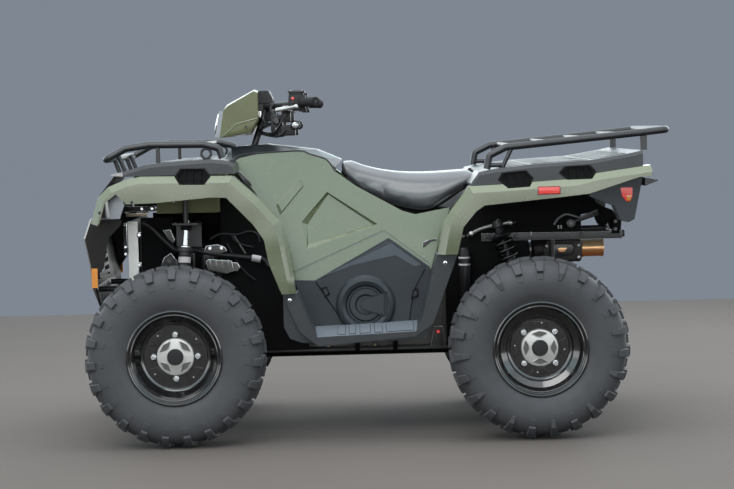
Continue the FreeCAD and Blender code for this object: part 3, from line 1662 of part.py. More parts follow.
def front_guards():
    """Upright walls outside the upper rail, ahead of the strut tower and behind it."""
    start = liner_x + liner_length + fit
    end = engine_front + overrun
    behind = [
        (start, guard_low_z), (end, guard_low_z), (end, guard_hip_z),
        (side_panel_x + (end - start) / 2, guard_hip_z + guard_hip_lift),
        (start + (end - start) / 3, guard_front_top_z), (start, guard_front_top_z),
    ]
    tower = king_pin(-1, strut_top_z).x - tower_half
    nose = at_front(-rail_front) + fit
    ahead = [
        (nose, guard_front_mid_z), (tower - overrun, guard_front_mid_z),
        (tower - overrun, guard_front_nose_top_z),
        (nose, guard_front_nose_top_z),
    ]
    face = upper_rail_y + tube_radius + fit
    return [prism(outline, -face - guard_wall, -face) for outline in (behind, ahead)]


def rear_guard():
    """Upright wall outside the rear rail, with room for the shock's hanger."""
    front = engine_rear - engine_mount_inset / 2
    arm = at_rear(rear_post_near) - bush_length
    shock = shock_top(-1)
    outline = [
        (front, guard_low_z), (arm, guard_low_z), (arm, guard_rear_mid_z),
        (silencer_front - tube_radius * 2, guard_rear_mid_z),
        (silencer_front - tube_radius * 2, upper_rear_z - guard_rail_lap),
        (tail_x, upper_rear_z - guard_rail_lap),
        (tail_x, guard_rear_top_z), (rear_upright_x - tube_radius * 2, guard_rear_top_z),
        (rear_upright_x - tube_radius * 2, upper_rear_z), (front, upper_rear_z - guard_rail_lap),
    ]
    face = upper_rear_y + tube_radius + fit
    wall = prism(outline, -face - guard_wall, -face)
    axis = (shock_top(1) - shock_foot(1)).normalize()
    bar_z = (shock_top(1) + axis * (fit + shock_pad)).z
    centre = Vector((shock_top(1) + axis * fit).x, -face - overrun, bar_z)
    return wall.cut(rod(centre, centre + Vector(0, 3 * overrun, 0), brace_radius * 0.8 + fit))


# Racks

rack_y = 455.0
rack_radius = 12.7
rack_bar_radius = 8.0
rack_bend = 45.0
front_rack_x = at_front(-233.0)
front_rack_length = 413.0
front_rack_z = 1001.0
front_rack_height = 65.0
front_rack_bar_shares = [0.42, 0.60, 0.80]
front_rack_post_shares = [0.447]
front_ring_share = 0.86
front_ring_radius = 17.0
front_ring_bar = 5.0
front_upright_y = 200.0
front_upright_gap = 17.0
front_upright_lean = 19.0
rear_rack_bar_shares = [0.16, 0.36, 0.56, 0.76]
rear_brace_share = 0.145
rear_brace_foot_share = 0.09
rear_plate_share = 0.858
rear_plate_half = 12.0
rear_plate_wall = 6.0
front_rack_shares = [(1.00, 0.20), (0.97, 0.74), (0.84, 0.96), (0.37, 1.00), (0.17, 0.83), (0.00, 0.26)]
rear_rack_x = at_rear(-172.0)
rear_rack_length = 653.0
rear_rack_z = 952.0
rear_rack_height = 126.0
rear_rack_shares = [(0.005, 0.0), (0.02, 0.38), (0.11, 0.60), (0.84, 0.92), (0.98, 0.99)]


def rack_loop(shares, x, z, length, height):
    left = [Vector(px, -rack_y, pz) for px, pz in placed(shares, x, z, length, height)]
    right = [Vector(p.x, rack_y, p.z) for p in left[::-1]]
    return left + right


def make_front_rack():
    points = rack_loop(front_rack_shares, front_rack_x, front_rack_z, front_rack_length, front_rack_height)
    parts = [bent_tube(points, rack_radius, rack_bend * 0.4)]
    cover = front_cover_top()
    line = placed(front_rack_shares, front_rack_x, front_rack_z, front_rack_length, front_rack_height)
    for share in front_rack_bar_shares:
        x = front_rack_x + share * front_rack_length
        z = height_on(line[::-1], x)
        parts.append(rod(Vector(x, -rack_y, z), Vector(x, rack_y, z), rack_bar_radius))
    for share in front_rack_post_shares:
        x = front_rack_x + share * front_rack_length
        top_z = height_on(line[::-1], x)
        for side in (-1, 1):
            foot_z = max(height_on(cover, x - rack_bar_radius), height_on(cover, x + rack_bar_radius)) + fit
            parts.append(rod(Vector(x, side * rack_y, foot_z), Vector(x, side * rack_y, top_z),
                rack_bar_radius))
    ring_x = front_rack_x + front_ring_share * front_rack_length
    ring_z = height_on(line[::-1], ring_x) - rack_radius - front_ring_radius
    lean = math.radians(front_upright_lean)
    for side in (-1, 1):
        ring = Part.makeTorus(
            front_ring_radius, front_ring_bar, Vector(ring_x, side * rack_y, ring_z), Vector(0, 1, 0),
        )
        parts.append(ring)
        for number in (0, 1):
            top = Vector(
                line[-1][0] + number * front_upright_gap, side * front_upright_y,
                line[-1][1] + number * rack_bar_radius,
            )
            foot_x = top.x + (top.z - front_cover_z) * math.tan(lean)
            foot_z = height_on(cover, foot_x) - panel_wall / 2
            foot = Vector(foot_x, top.y, foot_z)
            parts.append(rod(top, foot, rack_bar_radius))
    rack = fused(parts)
    cover_body = make_front_cover()
    seat = cover_body.copy()
    seat.translate(Vector(0, 0, fit))
    return rack.cut(seat)


def make_rear_rack():
    points = rack_loop(rear_rack_shares, rear_rack_x, rear_rack_z, rear_rack_length, rear_rack_height)
    parts = [bent_tube(points, rack_radius, rack_bend * 0.3)]
    cover = rear_cover_top()
    line = placed(rear_rack_shares, rear_rack_x, rear_rack_z, rear_rack_length, rear_rack_height)
    for share in rear_rack_bar_shares:
        x = rear_rack_x + share * rear_rack_length
        z = height_on(line, x)
        parts.append(rod(Vector(x, -rack_y, z), Vector(x, rack_y, z), rack_bar_radius))
    plate_x = rear_rack_x + rear_plate_share * rear_rack_length
    brace_x = rear_rack_x + rear_brace_share * rear_rack_length
    foot_x = rear_rack_x + rear_brace_foot_share * rear_rack_length
    for side in (-1, 1):
        foot_z = max(
            height_on(cover, plate_x - rear_plate_half), height_on(cover, plate_x + rear_plate_half),
        ) + fit
        near, far = sorted((side * (rack_y - rear_plate_wall), side * rack_y))
        parts.append(block(plate_x - rear_plate_half, plate_x + rear_plate_half, near, far, foot_z,
            height_on(line, plate_x)))
        foot_z = max(
            height_on(cover, foot_x - rack_bar_radius), height_on(cover, foot_x + rack_bar_radius),
        ) + fit
        foot = Vector(foot_x, side * rack_y, foot_z)
        parts.append(rod(foot, Vector(brace_x, side * rack_y, height_on(line, brace_x)), rack_bar_radius))
        low = Vector(line[0][0], side * rack_y, foot_z + rack_bar_radius)
        parts.append(rod(low, Vector(foot_x, side * rack_y, foot_z + rack_bar_radius), rack_bar_radius))
    rack = fused(parts)
    seat = make_rear_cover()
    seat.translate(Vector(0, 0, fit))
    return rack.cut(seat)


# Hand controls and pod lamp

control_y_in = 226.0
control_y_out = 266.0
control_x = post_x + 130.0
control_length = 68.0
control_drop = 22.0
control_z = bar_top_z - control_drop
control_height = 78.0
lever_radius = 5.0
lever_root_inset = 4.0
lever_reach = 120.0
lever_knee = 26.0
lever_root_reach = 10.0
lever_knee_setback = 5.0
lever_tip_reach = 38.0
lever_root_x = control_x + lever_root_reach
lever_knee_x = control_x - lever_knee_setback
lever_tip_x = control_x + lever_tip_reach
lever_lift = 16.0
lever_z = control_z + lever_lift
lever_rise = 2.0
gauge_half_width = 72.0
gauge_wall = 52.0
gauge_height = 46.0
gauge_shares = [(0.0, 0.0), (1.0, 0.0), (1.0, 0.35), (0.72, 1.0), (0.0, 1.0)]


def make_gauge():
    """Instrument housing behind the pod, on top of the bar."""
    outline = placed(
        gauge_shares, pod_x + pod_length + fit, bar_top_z + pod_bracket_height / 2 + fit, gauge_wall,
        gauge_height,
    )
    return prism(outline, -gauge_half_width, gauge_half_width)


def make_controls():
    pieces = []
    for side in (-1, 1):
        bar = bent_tube(bar_points(side), bar_radius, bar_bend_radius)
        y_from, y_to = sorted((side * control_y_in, side * control_y_out))
        box = block(
            control_x, control_x + control_length, y_from, y_to, control_z, control_z + control_height,
        )
        lever = bent_tube([
            Vector(lever_root_x, side * (control_y_out - lever_root_inset), lever_z),
            Vector(lever_knee_x, side * (control_y_out + lever_knee), lever_z + lever_rise),
            Vector(lever_tip_x, side * (control_y_out + lever_reach), lever_z + 2 * lever_rise),
        ], lever_radius, lever_radius * 3)
        pieces.append(fused([box, lever]).cut(bar))
    return Part.makeCompound(pieces)


pod_lamp_shares = [(0.0, 0.0), (0.55, 1.0), (1.0, 1.0), (0.55, 0.0)]
pod_lamp_x = at_front(132.5)
pod_lamp_lift = 3.0
pod_lamp_z = pod_z + pod_lamp_lift
pod_lamp_depth = 34.0
pod_lamp_height = 98.0
pod_lamp_half_width = 120.0


def make_pod_lamp():
    outline = placed(pod_lamp_shares, pod_lamp_x, pod_lamp_z, pod_lamp_depth, pod_lamp_height)
    return prism(outline, -pod_lamp_half_width, pod_lamp_half_width)


def main():
    os.makedirs("parts", exist_ok=True)
    for end, x, y, width in (
        ("front", front_axle_x, front_tyre_y, front_tyre_width),
        ("rear", rear_axle_x, rear_tyre_y, rear_tyre_width),
    ):
        for hand, side in (("left", -1), ("right", 1)):
            save(f"tyre_{end}_{hand}", make_tyre(x, side * y, width))
            save(f"rim_{end}_{hand}", make_rim(x, side * y, width, side))
    for hand, side in (("left", -1), ("right", 1)):
        save(f"knuckle_{hand}", make_knuckle(side))
        save(f"tie_rod_{hand}", make_tie_rod(side))
    save("handlebar", make_handlebar())
    save("grips", make_grips())
    save("pod", make_pod())
    save("frame", make_frame())
    save("front_arms", make_front_arms())
    save("rear_arms", make_rear_arms())
    save("rear_knuckles", Part.makeCompound([make_rear_knuckle(side) for side in (-1, 1)]))
    save("rear_shocks", Part.makeCompound([make_shock(side) for side in (-1, 1)]))
    save("engine", make_engine())
    save("front_drive", make_drive(front_axle_x, engine_front - fit, front_shaft_end))
    save("rear_drive", make_drive(rear_axle_x, engine_rear + fit, rear_joint_y - bush_radius * 0.4 - fit))
    save("radiator", make_radiator())
    save("silencer", make_silencer())
    save("tailpipe", make_tailpipe())
    save("skid_plate", make_skid_plate())
    save("hitch", make_hitch())
    save("front_fenders", pair(make_fender(front_fender_top_shares, front_fender_low_shares, front_fender_x,
        front_fender_z,
                                           front_fender_length, front_fender_height, front_fender_y,
                                           fender_flange)))
    save("rear_fenders", pair(make_fender(rear_fender_top_shares, rear_fender_low_shares, rear_fender_x,
        rear_fender_z,
                                          rear_fender_length, rear_fender_height, rear_fender_y,
                                          fender_flange)))
    save("front_cover", make_front_cover())
    save("rear_cover", make_rear_cover())
    save("side_panels", pair(make_side_panel()))
    save("lower_panels", pair(make_lower_panel()))
    save("clutch_cover", make_clutch_cover())
    save("side_vents", make_vents())
    save("centre_cover", make_centre_cover())
    save("seat", make_seat())
    save("footwells", pair(make_footwell()))
    save("bumper", make_bumper())
    save("headlights", pair(make_headlight()))
    save("grille", make_grille())
    save("inner_liner", make_liner())
    save("front_reflectors", pair(make_front_reflector()))
    save("tail_housings", pair(make_tail_housing()))
    save("tail_panel", make_tail_panel())
    save(
        "inner_guards",
        Part.makeCompound([shape for guard in front_guards() + [rear_guard()] for shape in (guard,
            mirrored(guard))]),
    )
    save("gauge", make_gauge())
    save("rear_lenses", make_lenses())
    save("front_rack", make_front_rack())
    save("rear_rack", make_rear_rack())
    save("hand_controls", make_controls())
    save("pod_lamp", make_pod_lamp())
    for name, shape in nodes.items():
        shape.exportStep(f"parts/{name}.step")
        print(name, len(shape.Solids), shape.isValid(), round(shape.Volume))


main()
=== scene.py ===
import json
import math

import bmesh
import bpy
from mathutils import Matrix, Vector


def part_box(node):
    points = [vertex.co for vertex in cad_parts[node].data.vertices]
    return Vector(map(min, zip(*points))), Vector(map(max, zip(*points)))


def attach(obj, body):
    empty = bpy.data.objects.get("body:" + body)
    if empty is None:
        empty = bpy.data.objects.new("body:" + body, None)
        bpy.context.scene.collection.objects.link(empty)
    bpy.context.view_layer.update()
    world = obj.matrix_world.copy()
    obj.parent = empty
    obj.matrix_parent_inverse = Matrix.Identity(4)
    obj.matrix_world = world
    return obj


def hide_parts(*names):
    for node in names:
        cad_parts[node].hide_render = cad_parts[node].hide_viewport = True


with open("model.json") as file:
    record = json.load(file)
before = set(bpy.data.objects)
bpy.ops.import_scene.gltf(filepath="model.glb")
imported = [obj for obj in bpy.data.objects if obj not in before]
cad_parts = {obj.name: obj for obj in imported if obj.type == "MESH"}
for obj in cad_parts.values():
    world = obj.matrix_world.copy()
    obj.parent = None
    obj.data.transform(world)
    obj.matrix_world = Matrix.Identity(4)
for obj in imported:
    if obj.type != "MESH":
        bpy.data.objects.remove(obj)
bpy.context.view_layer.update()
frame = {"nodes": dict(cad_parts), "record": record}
nodes = frame["nodes"]

# The quad bike's looks. Lengths are in metres, given as millimetres times mm.
# X runs rearward, Y to the vehicle's right, Z up. The left side faces the camera.

mm = 0.001
left, right = -1, 1

# Camera of the reference view
photo_width = 734
focal_pixels = 2101.6
sensor_width = 36.0
camera_place = Vector((-0.0486, -7.9, 1.1121))
camera_yaw = 0.003
camera_pitch = 0.056
camera_roll = -0.0244

# Wheels
tyre_radius = 320 * mm
lug_height = 13 * mm
lug_count = 23
axle_z = tyre_radius
wheel_places = {
    "front_left": (-709.75 * mm, -508 * mm, 203 * mm),
    "front_right": (-709.75 * mm, 508 * mm, 203 * mm),
    "rear_left": (573.25 * mm, -482.5 * mm, 254 * mm),
    "rear_right": (573.25 * mm, 482.5 * mm, 254 * mm),
}


def srgb(red, green, blue):
    """Linear colour of an 8-bit screen colour."""
    parts = []
    for level in (red, green, blue):
        share = level / 255
        parts.append(share / 12.92 if share <= 0.04045 else ((share + 0.055) / 1.055) ** 2.4)
    return (*parts, 1.0)


# Shader maths

class Level:
    """One shader output that can stand in a sum."""

    def __init__(self, finish, socket):
        self.finish = finish
        self.socket = socket

    def maths(self, operation, first, second):
        return self.finish.node("ShaderNodeMath", {"operation": operation}, {0: first, 1: second})

    def __add__(self, other):
        return self.maths("ADD", self, other)

    def __radd__(self, other):
        return self.maths("ADD", other, self)

    def __sub__(self, other):
        return self.maths("SUBTRACT", self, other)

    def __rsub__(self, other):
        return self.maths("SUBTRACT", other, self)

    def __mul__(self, other):
        return self.maths("MULTIPLY", self, other)

    def __rmul__(self, other):
        return self.maths("MULTIPLY", other, self)

    def __gt__(self, other):
        return self.maths("GREATER_THAN", self, other)

    def __lt__(self, other):
        return self.maths("LESS_THAN", self, other)


class Finish:
    """A material built from nodes round one Principled shader."""

    def __init__(self, name, **sockets):
        self.material = bpy.data.materials.new(name)
        self.material.use_nodes = True
        self.tree = self.material.node_tree
        self.shader = self.tree.nodes["Principled BSDF"]
        for label, value in sockets.items():
            self.put(label.replace("_", " "), value)

    def put(self, label, value):
        names = {socket.name.lower(): socket for socket in self.shader.inputs}
        self.feed(names[label.lower()], value)

    def feed(self, socket, value):
        if isinstance(value, Level):
            self.tree.links.new(value.socket, socket)
        else:
            socket.default_value = value

    def node(self, kind, settings, inputs, output=0):
        made = self.tree.nodes.new(kind)
        for label, value in settings.items():
            if label == "stops":
                ramp = made.color_ramp.elements
                while len(ramp) < len(value):
                    ramp.new(0.5)
                for stop, (place, colour) in zip(ramp, value):
                    stop.position = place
                    stop.color = colour
            else:
                setattr(made, label, value)
        for label, value in inputs.items():
            self.feed(made.inputs[label], value)
        return Level(self, made.outputs[output])

    def place(self):
        return self.node("ShaderNodeTexCoord", {}, {}, "Object")

    def axis(self, name):
        return self.node("ShaderNodeSeparateXYZ", {}, {"Vector": self.place()}, name)

    def noise(self, scale, detail=3.0, roughness=0.5, stretch=(1, 1, 1)):
        place = self.node("ShaderNodeVectorMath", {"operation": "MULTIPLY"}, {0: self.place(), 1: stretch})
        return self.node(
            "ShaderNodeTexNoise", {},
            {"Vector": place, "Scale": scale, "Detail": detail, "Roughness": roughness},
        )

    def cells(self, scale, feature="F1"):
        return self.node(
            "ShaderNodeTexVoronoi", {"feature": feature}, {"Vector": self.place(), "Scale": scale},
        )

    def blend(self, share, first, second):
        return self.node("ShaderNodeMix", {"data_type": "RGBA"}, {0: share, 6: first, 7: second}, 2)

    def ramp(self, share, stops):
        return self.node("ShaderNodeValToRGB", {"stops": stops}, {"Fac": share})

    def edges(self, radius):
        return self.node("ShaderNodeBevel", {"samples": 4}, {"Radius": radius}, "Normal")

    def bump(self, height, strength, depth, soft=None):
        inputs = {"Height": height, "Strength": strength, "Distance": depth}
        if soft is not None:
            inputs["Normal"] = soft
        self.put("Normal", self.node("ShaderNodeBump", {}, inputs, "Normal"))


def moulded_green(name, dark, light, gloss=0.9):
    f = Finish(name, roughness=0.22, ior=1.25 + 0.3 * gloss, coat_weight=gloss, coat_roughness=0.06)
    f.put("base color", f.blend(f.noise(2.5, 2), dark, light))
    f.put("roughness", 0.2 + f.noise(35, 4) * 0.12)
    f.bump(f.noise(3.6, 1) * 60, 0.5, 0.6 * mm, f.edges(2 * mm))
    return f.material


def grained(name, dark, light, rough, grain=1100, depth=0.25, soft=1.6 * mm, ior=1.34):
    f = Finish(name, roughness=rough, ior=ior)
    f.put("base color", f.blend(f.noise(9, 3), dark, light))
    f.put("roughness", rough - 0.06 + f.noise(60, 3) * 0.12)
    f.bump(f.cells(grain), depth, 0.3 * mm, f.edges(soft))
    return f.material


def tread_plate():
    """Footwell plastic, paler where it faces up: painted top light."""
    f = Finish("footwell_grey", roughness=0.42, ior=1.36)
    facing = f.node(
        "ShaderNodeSeparateXYZ", {}, {"Vector": f.node("ShaderNodeTexCoord", {}, {}, "Normal")}, "Z",
    )
    shaded_side_faces = f.blend(f.noise(9, 3), srgb(46, 50, 53), srgb(58, 62, 66))
    lit_top_faces = f.blend(f.noise(14, 4), srgb(92, 100, 108), srgb(110, 118, 126))
    # Faces that point up get the paler, bluish colour: painted top light and sky reflection.
    f.put("base color", f.blend(facing > 0.6, shaded_side_faces, lit_top_faces))
    f.put("roughness", 0.36 + f.noise(60, 3) * 0.12)
    f.bump(f.cells(1100), 0.25, 0.3 * mm, f.edges(1.6 * mm))
    return f.material


def powder_coat(name, dark, light, rough):
    f = Finish(name, roughness=rough, ior=1.5)
    f.put("base color", f.blend(f.noise(14, 3), dark, light))
    f.put("roughness", rough - 0.05 + f.noise(90, 3) * 0.1)
    f.bump(f.noise(700, 2), 0.12, 0.25 * mm, f.edges(0.8 * mm))
    return f.material


def cast_metal(name, dark, light, rough, grain=500, depth=0.3):
    f = Finish(name, metallic=0.6, roughness=rough)
    f.put("base color", f.blend(f.noise(22, 5), dark, light))
    f.put("roughness", rough - 0.08 + f.noise(130, 4) * 0.18)
    f.bump(f.noise(grain, 4, 0.6), depth, 0.5 * mm, f.edges(1.2 * mm))
    return f.material


def bright_metal(name, colour, rough):
    f = Finish(name, metallic=1.0, roughness=rough)
    f.put("base color", f.blend(f.noise(30, 3), colour, tuple(0.86 * c for c in colour[:3]) + (1.0,)))
    f.put("roughness", rough + f.noise(260, 3, 0.5, (1, 1, 0.1)) * 0.12)
    return f.material


def tyre_rubber():
    f = Finish("tyre_rubber", roughness=0.7, ior=1.5)
    dust = f.noise(7, 5, 0.65)
    f.put("base color", f.blend(dust, srgb(56, 58, 61), srgb(84, 86, 89)))
    f.put("roughness", 0.6 + f.noise(40, 4) * 0.22)
    f.bump(f.noise(900, 3, 0.6), 0.2, 0.3 * mm)
    return f.material


def gloss_black():
    f = Finish("rim_black", roughness=0.16, ior=1.5, coat_weight=0.9, coat_roughness=0.04)
    f.put("base color", f.blend(f.noise(18, 3), srgb(12, 12, 14), srgb(22, 22, 24)))
    f.put("roughness", 0.13 + f.noise(50, 3) * 0.08)
    f.bump(f.noise(380, 2), 0.04, 0.3 * mm, f.edges(1 * mm))
    return f.material


def seat_vinyl():
    f = Finish("seat_vinyl", roughness=0.36, ior=1.5, coat_weight=0.7, coat_roughness=0.26)
    f.put("base color", f.blend(f.noise(5, 4), srgb(62, 66, 70), srgb(76, 80, 84)))
    f.put("roughness", 0.34 + f.noise(80, 4) * 0.14)
    grain = f.cells(620, "DISTANCE_TO_EDGE") * 1.4 + f.noise(1300, 3) * 0.5
    f.bump(grain, 0.3, 0.35 * mm)
    return f.material


def heat_tint_with_painted_highlight():
    f = Finish("tailpipe_bronze", metallic=0.35, roughness=0.32)
    # Colour by height: orange heat tint low down, paling to near white at the top, which is a painted
    # highlight.
    height = (f.axis("Z") - 0.595) * 12.0 + (f.noise(26, 3) - 0.5) * 0.2
    f.put("base color", f.ramp(height, [
        (0.0, srgb(206, 112, 62)), (0.3, srgb(238, 150, 90)), (0.55, srgb(250, 206, 150)),
        (1.0, srgb(250, 232, 198)),
    ]))
    f.put("roughness", 0.22 + f.noise(200, 4) * 0.16)
    f.bump(f.noise(300, 3, 0.5, (0.2, 1, 1)), 0.08, 0.3 * mm)
    return f.material


def lens(name, colour, rough, see_through, glow=0.0):
    f = Finish(name, roughness=rough, ior=1.5, transmission_weight=see_through, coat_weight=0.6)
    ribs = f.node(
        "ShaderNodeTexWave", {"bands_direction": "Z"},
        {"Vector": f.place(), "Scale": 90.0, "Distortion": 0.0},
    )
    f.put("base color", f.blend(f.noise(40, 2), colour, tuple(0.9 * c for c in colour[:3]) + (1.0,)))
    f.bump(ribs, 0.35, 0.5 * mm, f.edges(1.2 * mm))
    # The glow is a painted glow from the lens itself; with the red finish it also lands on reflectors and a
    # switch, which are no lamps.
    if glow:
        f.put("emission color", colour)
        f.shader.inputs["Emission Strength"].default_value = glow
    return f.material


materials = {
    "body_green": moulded_green("body_green", srgb(86, 97, 68), srgb(100, 111, 81)),
    "pod_green": moulded_green("pod_green", srgb(86, 92, 60), srgb(100, 106, 72), 0.15),
    "deck_grey": grained("deck_grey", srgb(32, 36, 39), srgb(44, 48, 52), 0.3, ior=1.45),
    "footwell_grey": tread_plate(),
    "panel_black": grained("panel_black", srgb(42, 48, 53), srgb(54, 60, 66), 0.34),
    "fascia_black": grained("fascia_black", srgb(17, 16, 15), srgb(26, 24, 22), 0.4, ior=1.28),
    "belly_plastic": grained("belly_plastic", srgb(6, 6, 7), srgb(12, 12, 13), 0.75, ior=1.2),
    # Near-black that paints shade: in the side vents' recesses, in the panel slots and in the gap under the
    # seat.
    "painted_shade_black": grained("painted_shade_black", srgb(5, 5, 6), srgb(10, 10, 11), 0.6, ior=1.25),
    "control_black": grained("control_black", srgb(24, 24, 26), srgb(36, 36, 38), 0.42, 1500),
    "frame_steel": powder_coat("frame_steel", srgb(18, 18, 19), srgb(28, 28, 30), 0.42),
    "rack_steel": powder_coat("rack_steel", srgb(26, 28, 31), srgb(40, 42, 46), 0.36),
    "shock_black": powder_coat("shock_black", srgb(14, 14, 15), srgb(22, 22, 24), 0.26),
    "knuckle_iron": cast_metal("knuckle_iron", srgb(40, 40, 42), srgb(66, 66, 68), 0.55),
    "engine_metal": cast_metal("engine_metal", srgb(70, 70, 68), srgb(112, 112, 108), 0.6),
    "gearcase_metal": cast_metal("gearcase_metal", srgb(90, 92, 94), srgb(130, 132, 134), 0.52),
    "radiator_metal": cast_metal("radiator_metal", srgb(214, 214, 210), srgb(236, 236, 232), 0.5, 300, 0.1),
    "exhaust_steel": cast_metal("exhaust_steel", srgb(30, 29, 29), srgb(52, 50, 49), 0.5),
    "hub_silver": cast_metal("hub_silver", srgb(168, 168, 166), srgb(196, 196, 194), 0.34, 700, 0.2),
    "bright_steel": bright_metal("bright_steel", srgb(206, 208, 210), 0.16),
    "tailpipe_bronze": heat_tint_with_painted_highlight(),
    "tyre_rubber": tyre_rubber(),
    "rim_black": gloss_black(),
    "gloss_dark": powder_coat("gloss_dark", srgb(10, 10, 11), srgb(18, 18, 20), 0.3),
    "pale_band": grained("pale_band", srgb(214, 214, 216), srgb(228, 228, 230), 0.4, 1500, 0.1),
    "bracket_tan": cast_metal("bracket_tan", srgb(126, 116, 92), srgb(150, 140, 114), 0.45, 600, 0.15),
    "lamp_silver": bright_metal("lamp_silver", srgb(112, 116, 120), 0.24),
    # Paler bluish grey of the lower panel's facet: painted sky light, as the facet plate lies flat on the
    # panel.
    "facet_painted_light": grained("facet_painted_light", srgb(76, 84, 92), srgb(90, 98, 106), 0.34),
    "liner_green": grained("liner_green", srgb(116, 120, 84), srgb(130, 134, 96), 0.6),
    "seat_vinyl": seat_vinyl(),
    "grip_rubber": grained("grip_rubber", srgb(24, 24, 25), srgb(34, 34, 35), 0.75, 1600),
    # The red lens finish carries a painted glow.
    "red_lens": lens("red_lens", srgb(206, 30, 18), 0.12, 0.0, 0.4),
    "amber_lens": lens("amber_lens", srgb(240, 150, 20), 0.15, 0.0),
    "lamp_clear": lens("lamp_clear", srgb(225, 230, 232), 0.08, 0.75),
}
# The side vents take the near-black that paints the shade in their recesses.
hidden_finishes = {"side_vents": "painted_shade_black", "inner_liner": "liner_green", "pod": "pod_green"}
for row in frame["record"]["subparts"]:
    cad = nodes[row["node"]]
    cad.data.materials.clear()
    cad.data.materials.append(materials[hidden_finishes.get(row["node"], row["material_slot"])])


# Mesh helpers

def piece(name, bm, material, body, sharp=30, replaced=()):
    """Turns a bmesh into a piece of the model that rides on a body."""
    bmesh.ops.remove_doubles(bm, verts=bm.verts, dist=0.01 * mm)
    bmesh.ops.recalc_face_normals(bm, faces=bm.faces)
    mesh = bpy.data.meshes.new(name)
    bm.to_mesh(mesh)
    bm.free()
    made = bpy.data.objects.new(name, mesh)
    bpy.context.scene.collection.objects.link(made)
    for item in material if isinstance(material, list) else [material]:
        mesh.materials.append(materials[item])
    mesh.shade_smooth()
    mesh.set_sharp_from_angle(angle=math.radians(sharp))
    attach(made, body)
    if replaced:
        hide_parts(*replaced)


def ring_faces(bm, first, second, material=0, closed=True):
    """Quads between two rows of vertices."""
    count = len(first)
    for index in range(count if closed else count - 1):
        after = (index + 1) % count
        face = bm.faces.new((first[index], first[after], second[after], second[index]))
        face.material_index = material


def skinned(bm, rows, material=0):
    """Faces between rings of vertices and over both ends."""
    for first, second in zip(rows, rows[1:]):
        ring_faces(bm, first, second, material)
    for ring in (rows[0], rows[-1]):
        bm.faces.new(ring).material_index = material


def wheel_ring(bm, centre, side, radius, out, sides, offset=0.0):
    """Ring of vertices round a place, square to the axle."""
    ring = []
    for step in range(sides):
        turn = 2 * math.pi * (step + offset) / sides
        place = Vector((radius * math.sin(turn), side * out, radius * math.cos(turn)))
        ring.append(bm.verts.new(centre + place))
    return ring


def turned(bm, profile, centre, side, sides=96, material=0):
    """Turns a profile about a wheel's axle line. Points are (radius, outward), some with a material."""
    rows = [wheel_ring(bm, centre, side, point[0], point[1], sides) for point in profile]
    for index, (first, second) in enumerate(zip(rows, rows[1:])):
        kind = profile[index + 1][2] if len(profile[index + 1]) > 2 else material
        ring_faces(bm, first, second, kind)


def smooth_line(points, steps):
    """Catmull-Rom line through the points."""
    line = []
    padded = [points[0], *points, points[-1]]
    for before, start, end, after in zip(padded, padded[1:], padded[2:], padded[3:]):
        for step in range(steps):
            t = step / steps
            place = []
            for a, b, c, d in zip(before, start, end, after):
                square = (2 * a - 5 * b + 4 * c - d) * t * t
                cube = (3 * b - a - 3 * c + d) * t ** 3
                place.append(0.5 * (2 * b + (c - a) * t + square + cube))
            line.append(tuple(place))
    line.append(points[-1])
    return line


def swept(bm, path, radius, sides=16, material=0):
    """Round bar along a path, with flat ends. The radius may be a list along the path."""
    radii = radius if isinstance(radius, list) else [radius] * len(path)
    across = None
    rows = []
    for index, point in enumerate(path):
        ahead = path[min(index + 1, len(path) - 1)]
        behind = path[max(index - 1, 0)]
        along = (ahead - behind).normalized()
        if across is None:
            across = along.orthogonal().normalized()
        across = (across - along * across.dot(along)).normalized()
        other = along.cross(across)
        ring = []
        for step in range(sides):
            turn = 2 * math.pi * step / sides
            arm = across * math.cos(turn) + other * math.sin(turn)
            ring.append(bm.verts.new(point + arm * radii[index]))
        rows.append(ring)
    skinned(bm, rows, material)


# Tyres

def tyre_line(width):
    """Half profile of the carcass from the crown to the bead, as (radius, outward), at even steps."""
    crown = tyre_radius - lug_height
    shares = [
        (1.0, 0.0), (0.998, 0.15), (0.988, 0.28), (0.955, 0.39), (0.89, 0.455), (0.81, 0.483),
        (0.73, 0.482), (0.65, 0.462), (0.59, 0.43), (0.553, 0.405), (0.50, 0.395),
    ]
    return smooth_line([(crown * r, width * y) for r, y in shares], 5)


class Carcass:
    """The tyre's curved surface, addressed by an angle and a distance from the crown's middle."""

    def __init__(self, centre, side, width, limit):
        self.limit = limit
        self.centre = centre
        self.side = side
        self.line = tyre_line(width)
        self.run = [0.0]
        for (r1, y1), (r2, y2) in zip(self.line, self.line[1:]):
            self.run.append(self.run[-1] + math.hypot(r2 - r1, y2 - y1))

    def point(self, angle, across, height):
        """Across is signed: positive towards the tyre's outer side."""
        hand = 1 if across >= 0 else -1
        reach = abs(across)
        index = 0
        while index < len(self.run) - 2 and self.run[index + 1] < reach:
            index += 1
        (r1, y1), (r2, y2) = self.line[index], self.line[index + 1]
        share = (reach - self.run[index]) / (self.run[index + 1] - self.run[index])
        slope = Vector((r2 - r1, y2 - y1)).normalized()
        radius = r1 + (r2 - r1) * share + slope.y * height
        out = min(y1 + (y2 - y1) * share - slope.x * height, self.limit) * hand
        return self.centre + Vector((radius * math.sin(angle), self.side * out, radius * math.cos(angle)))


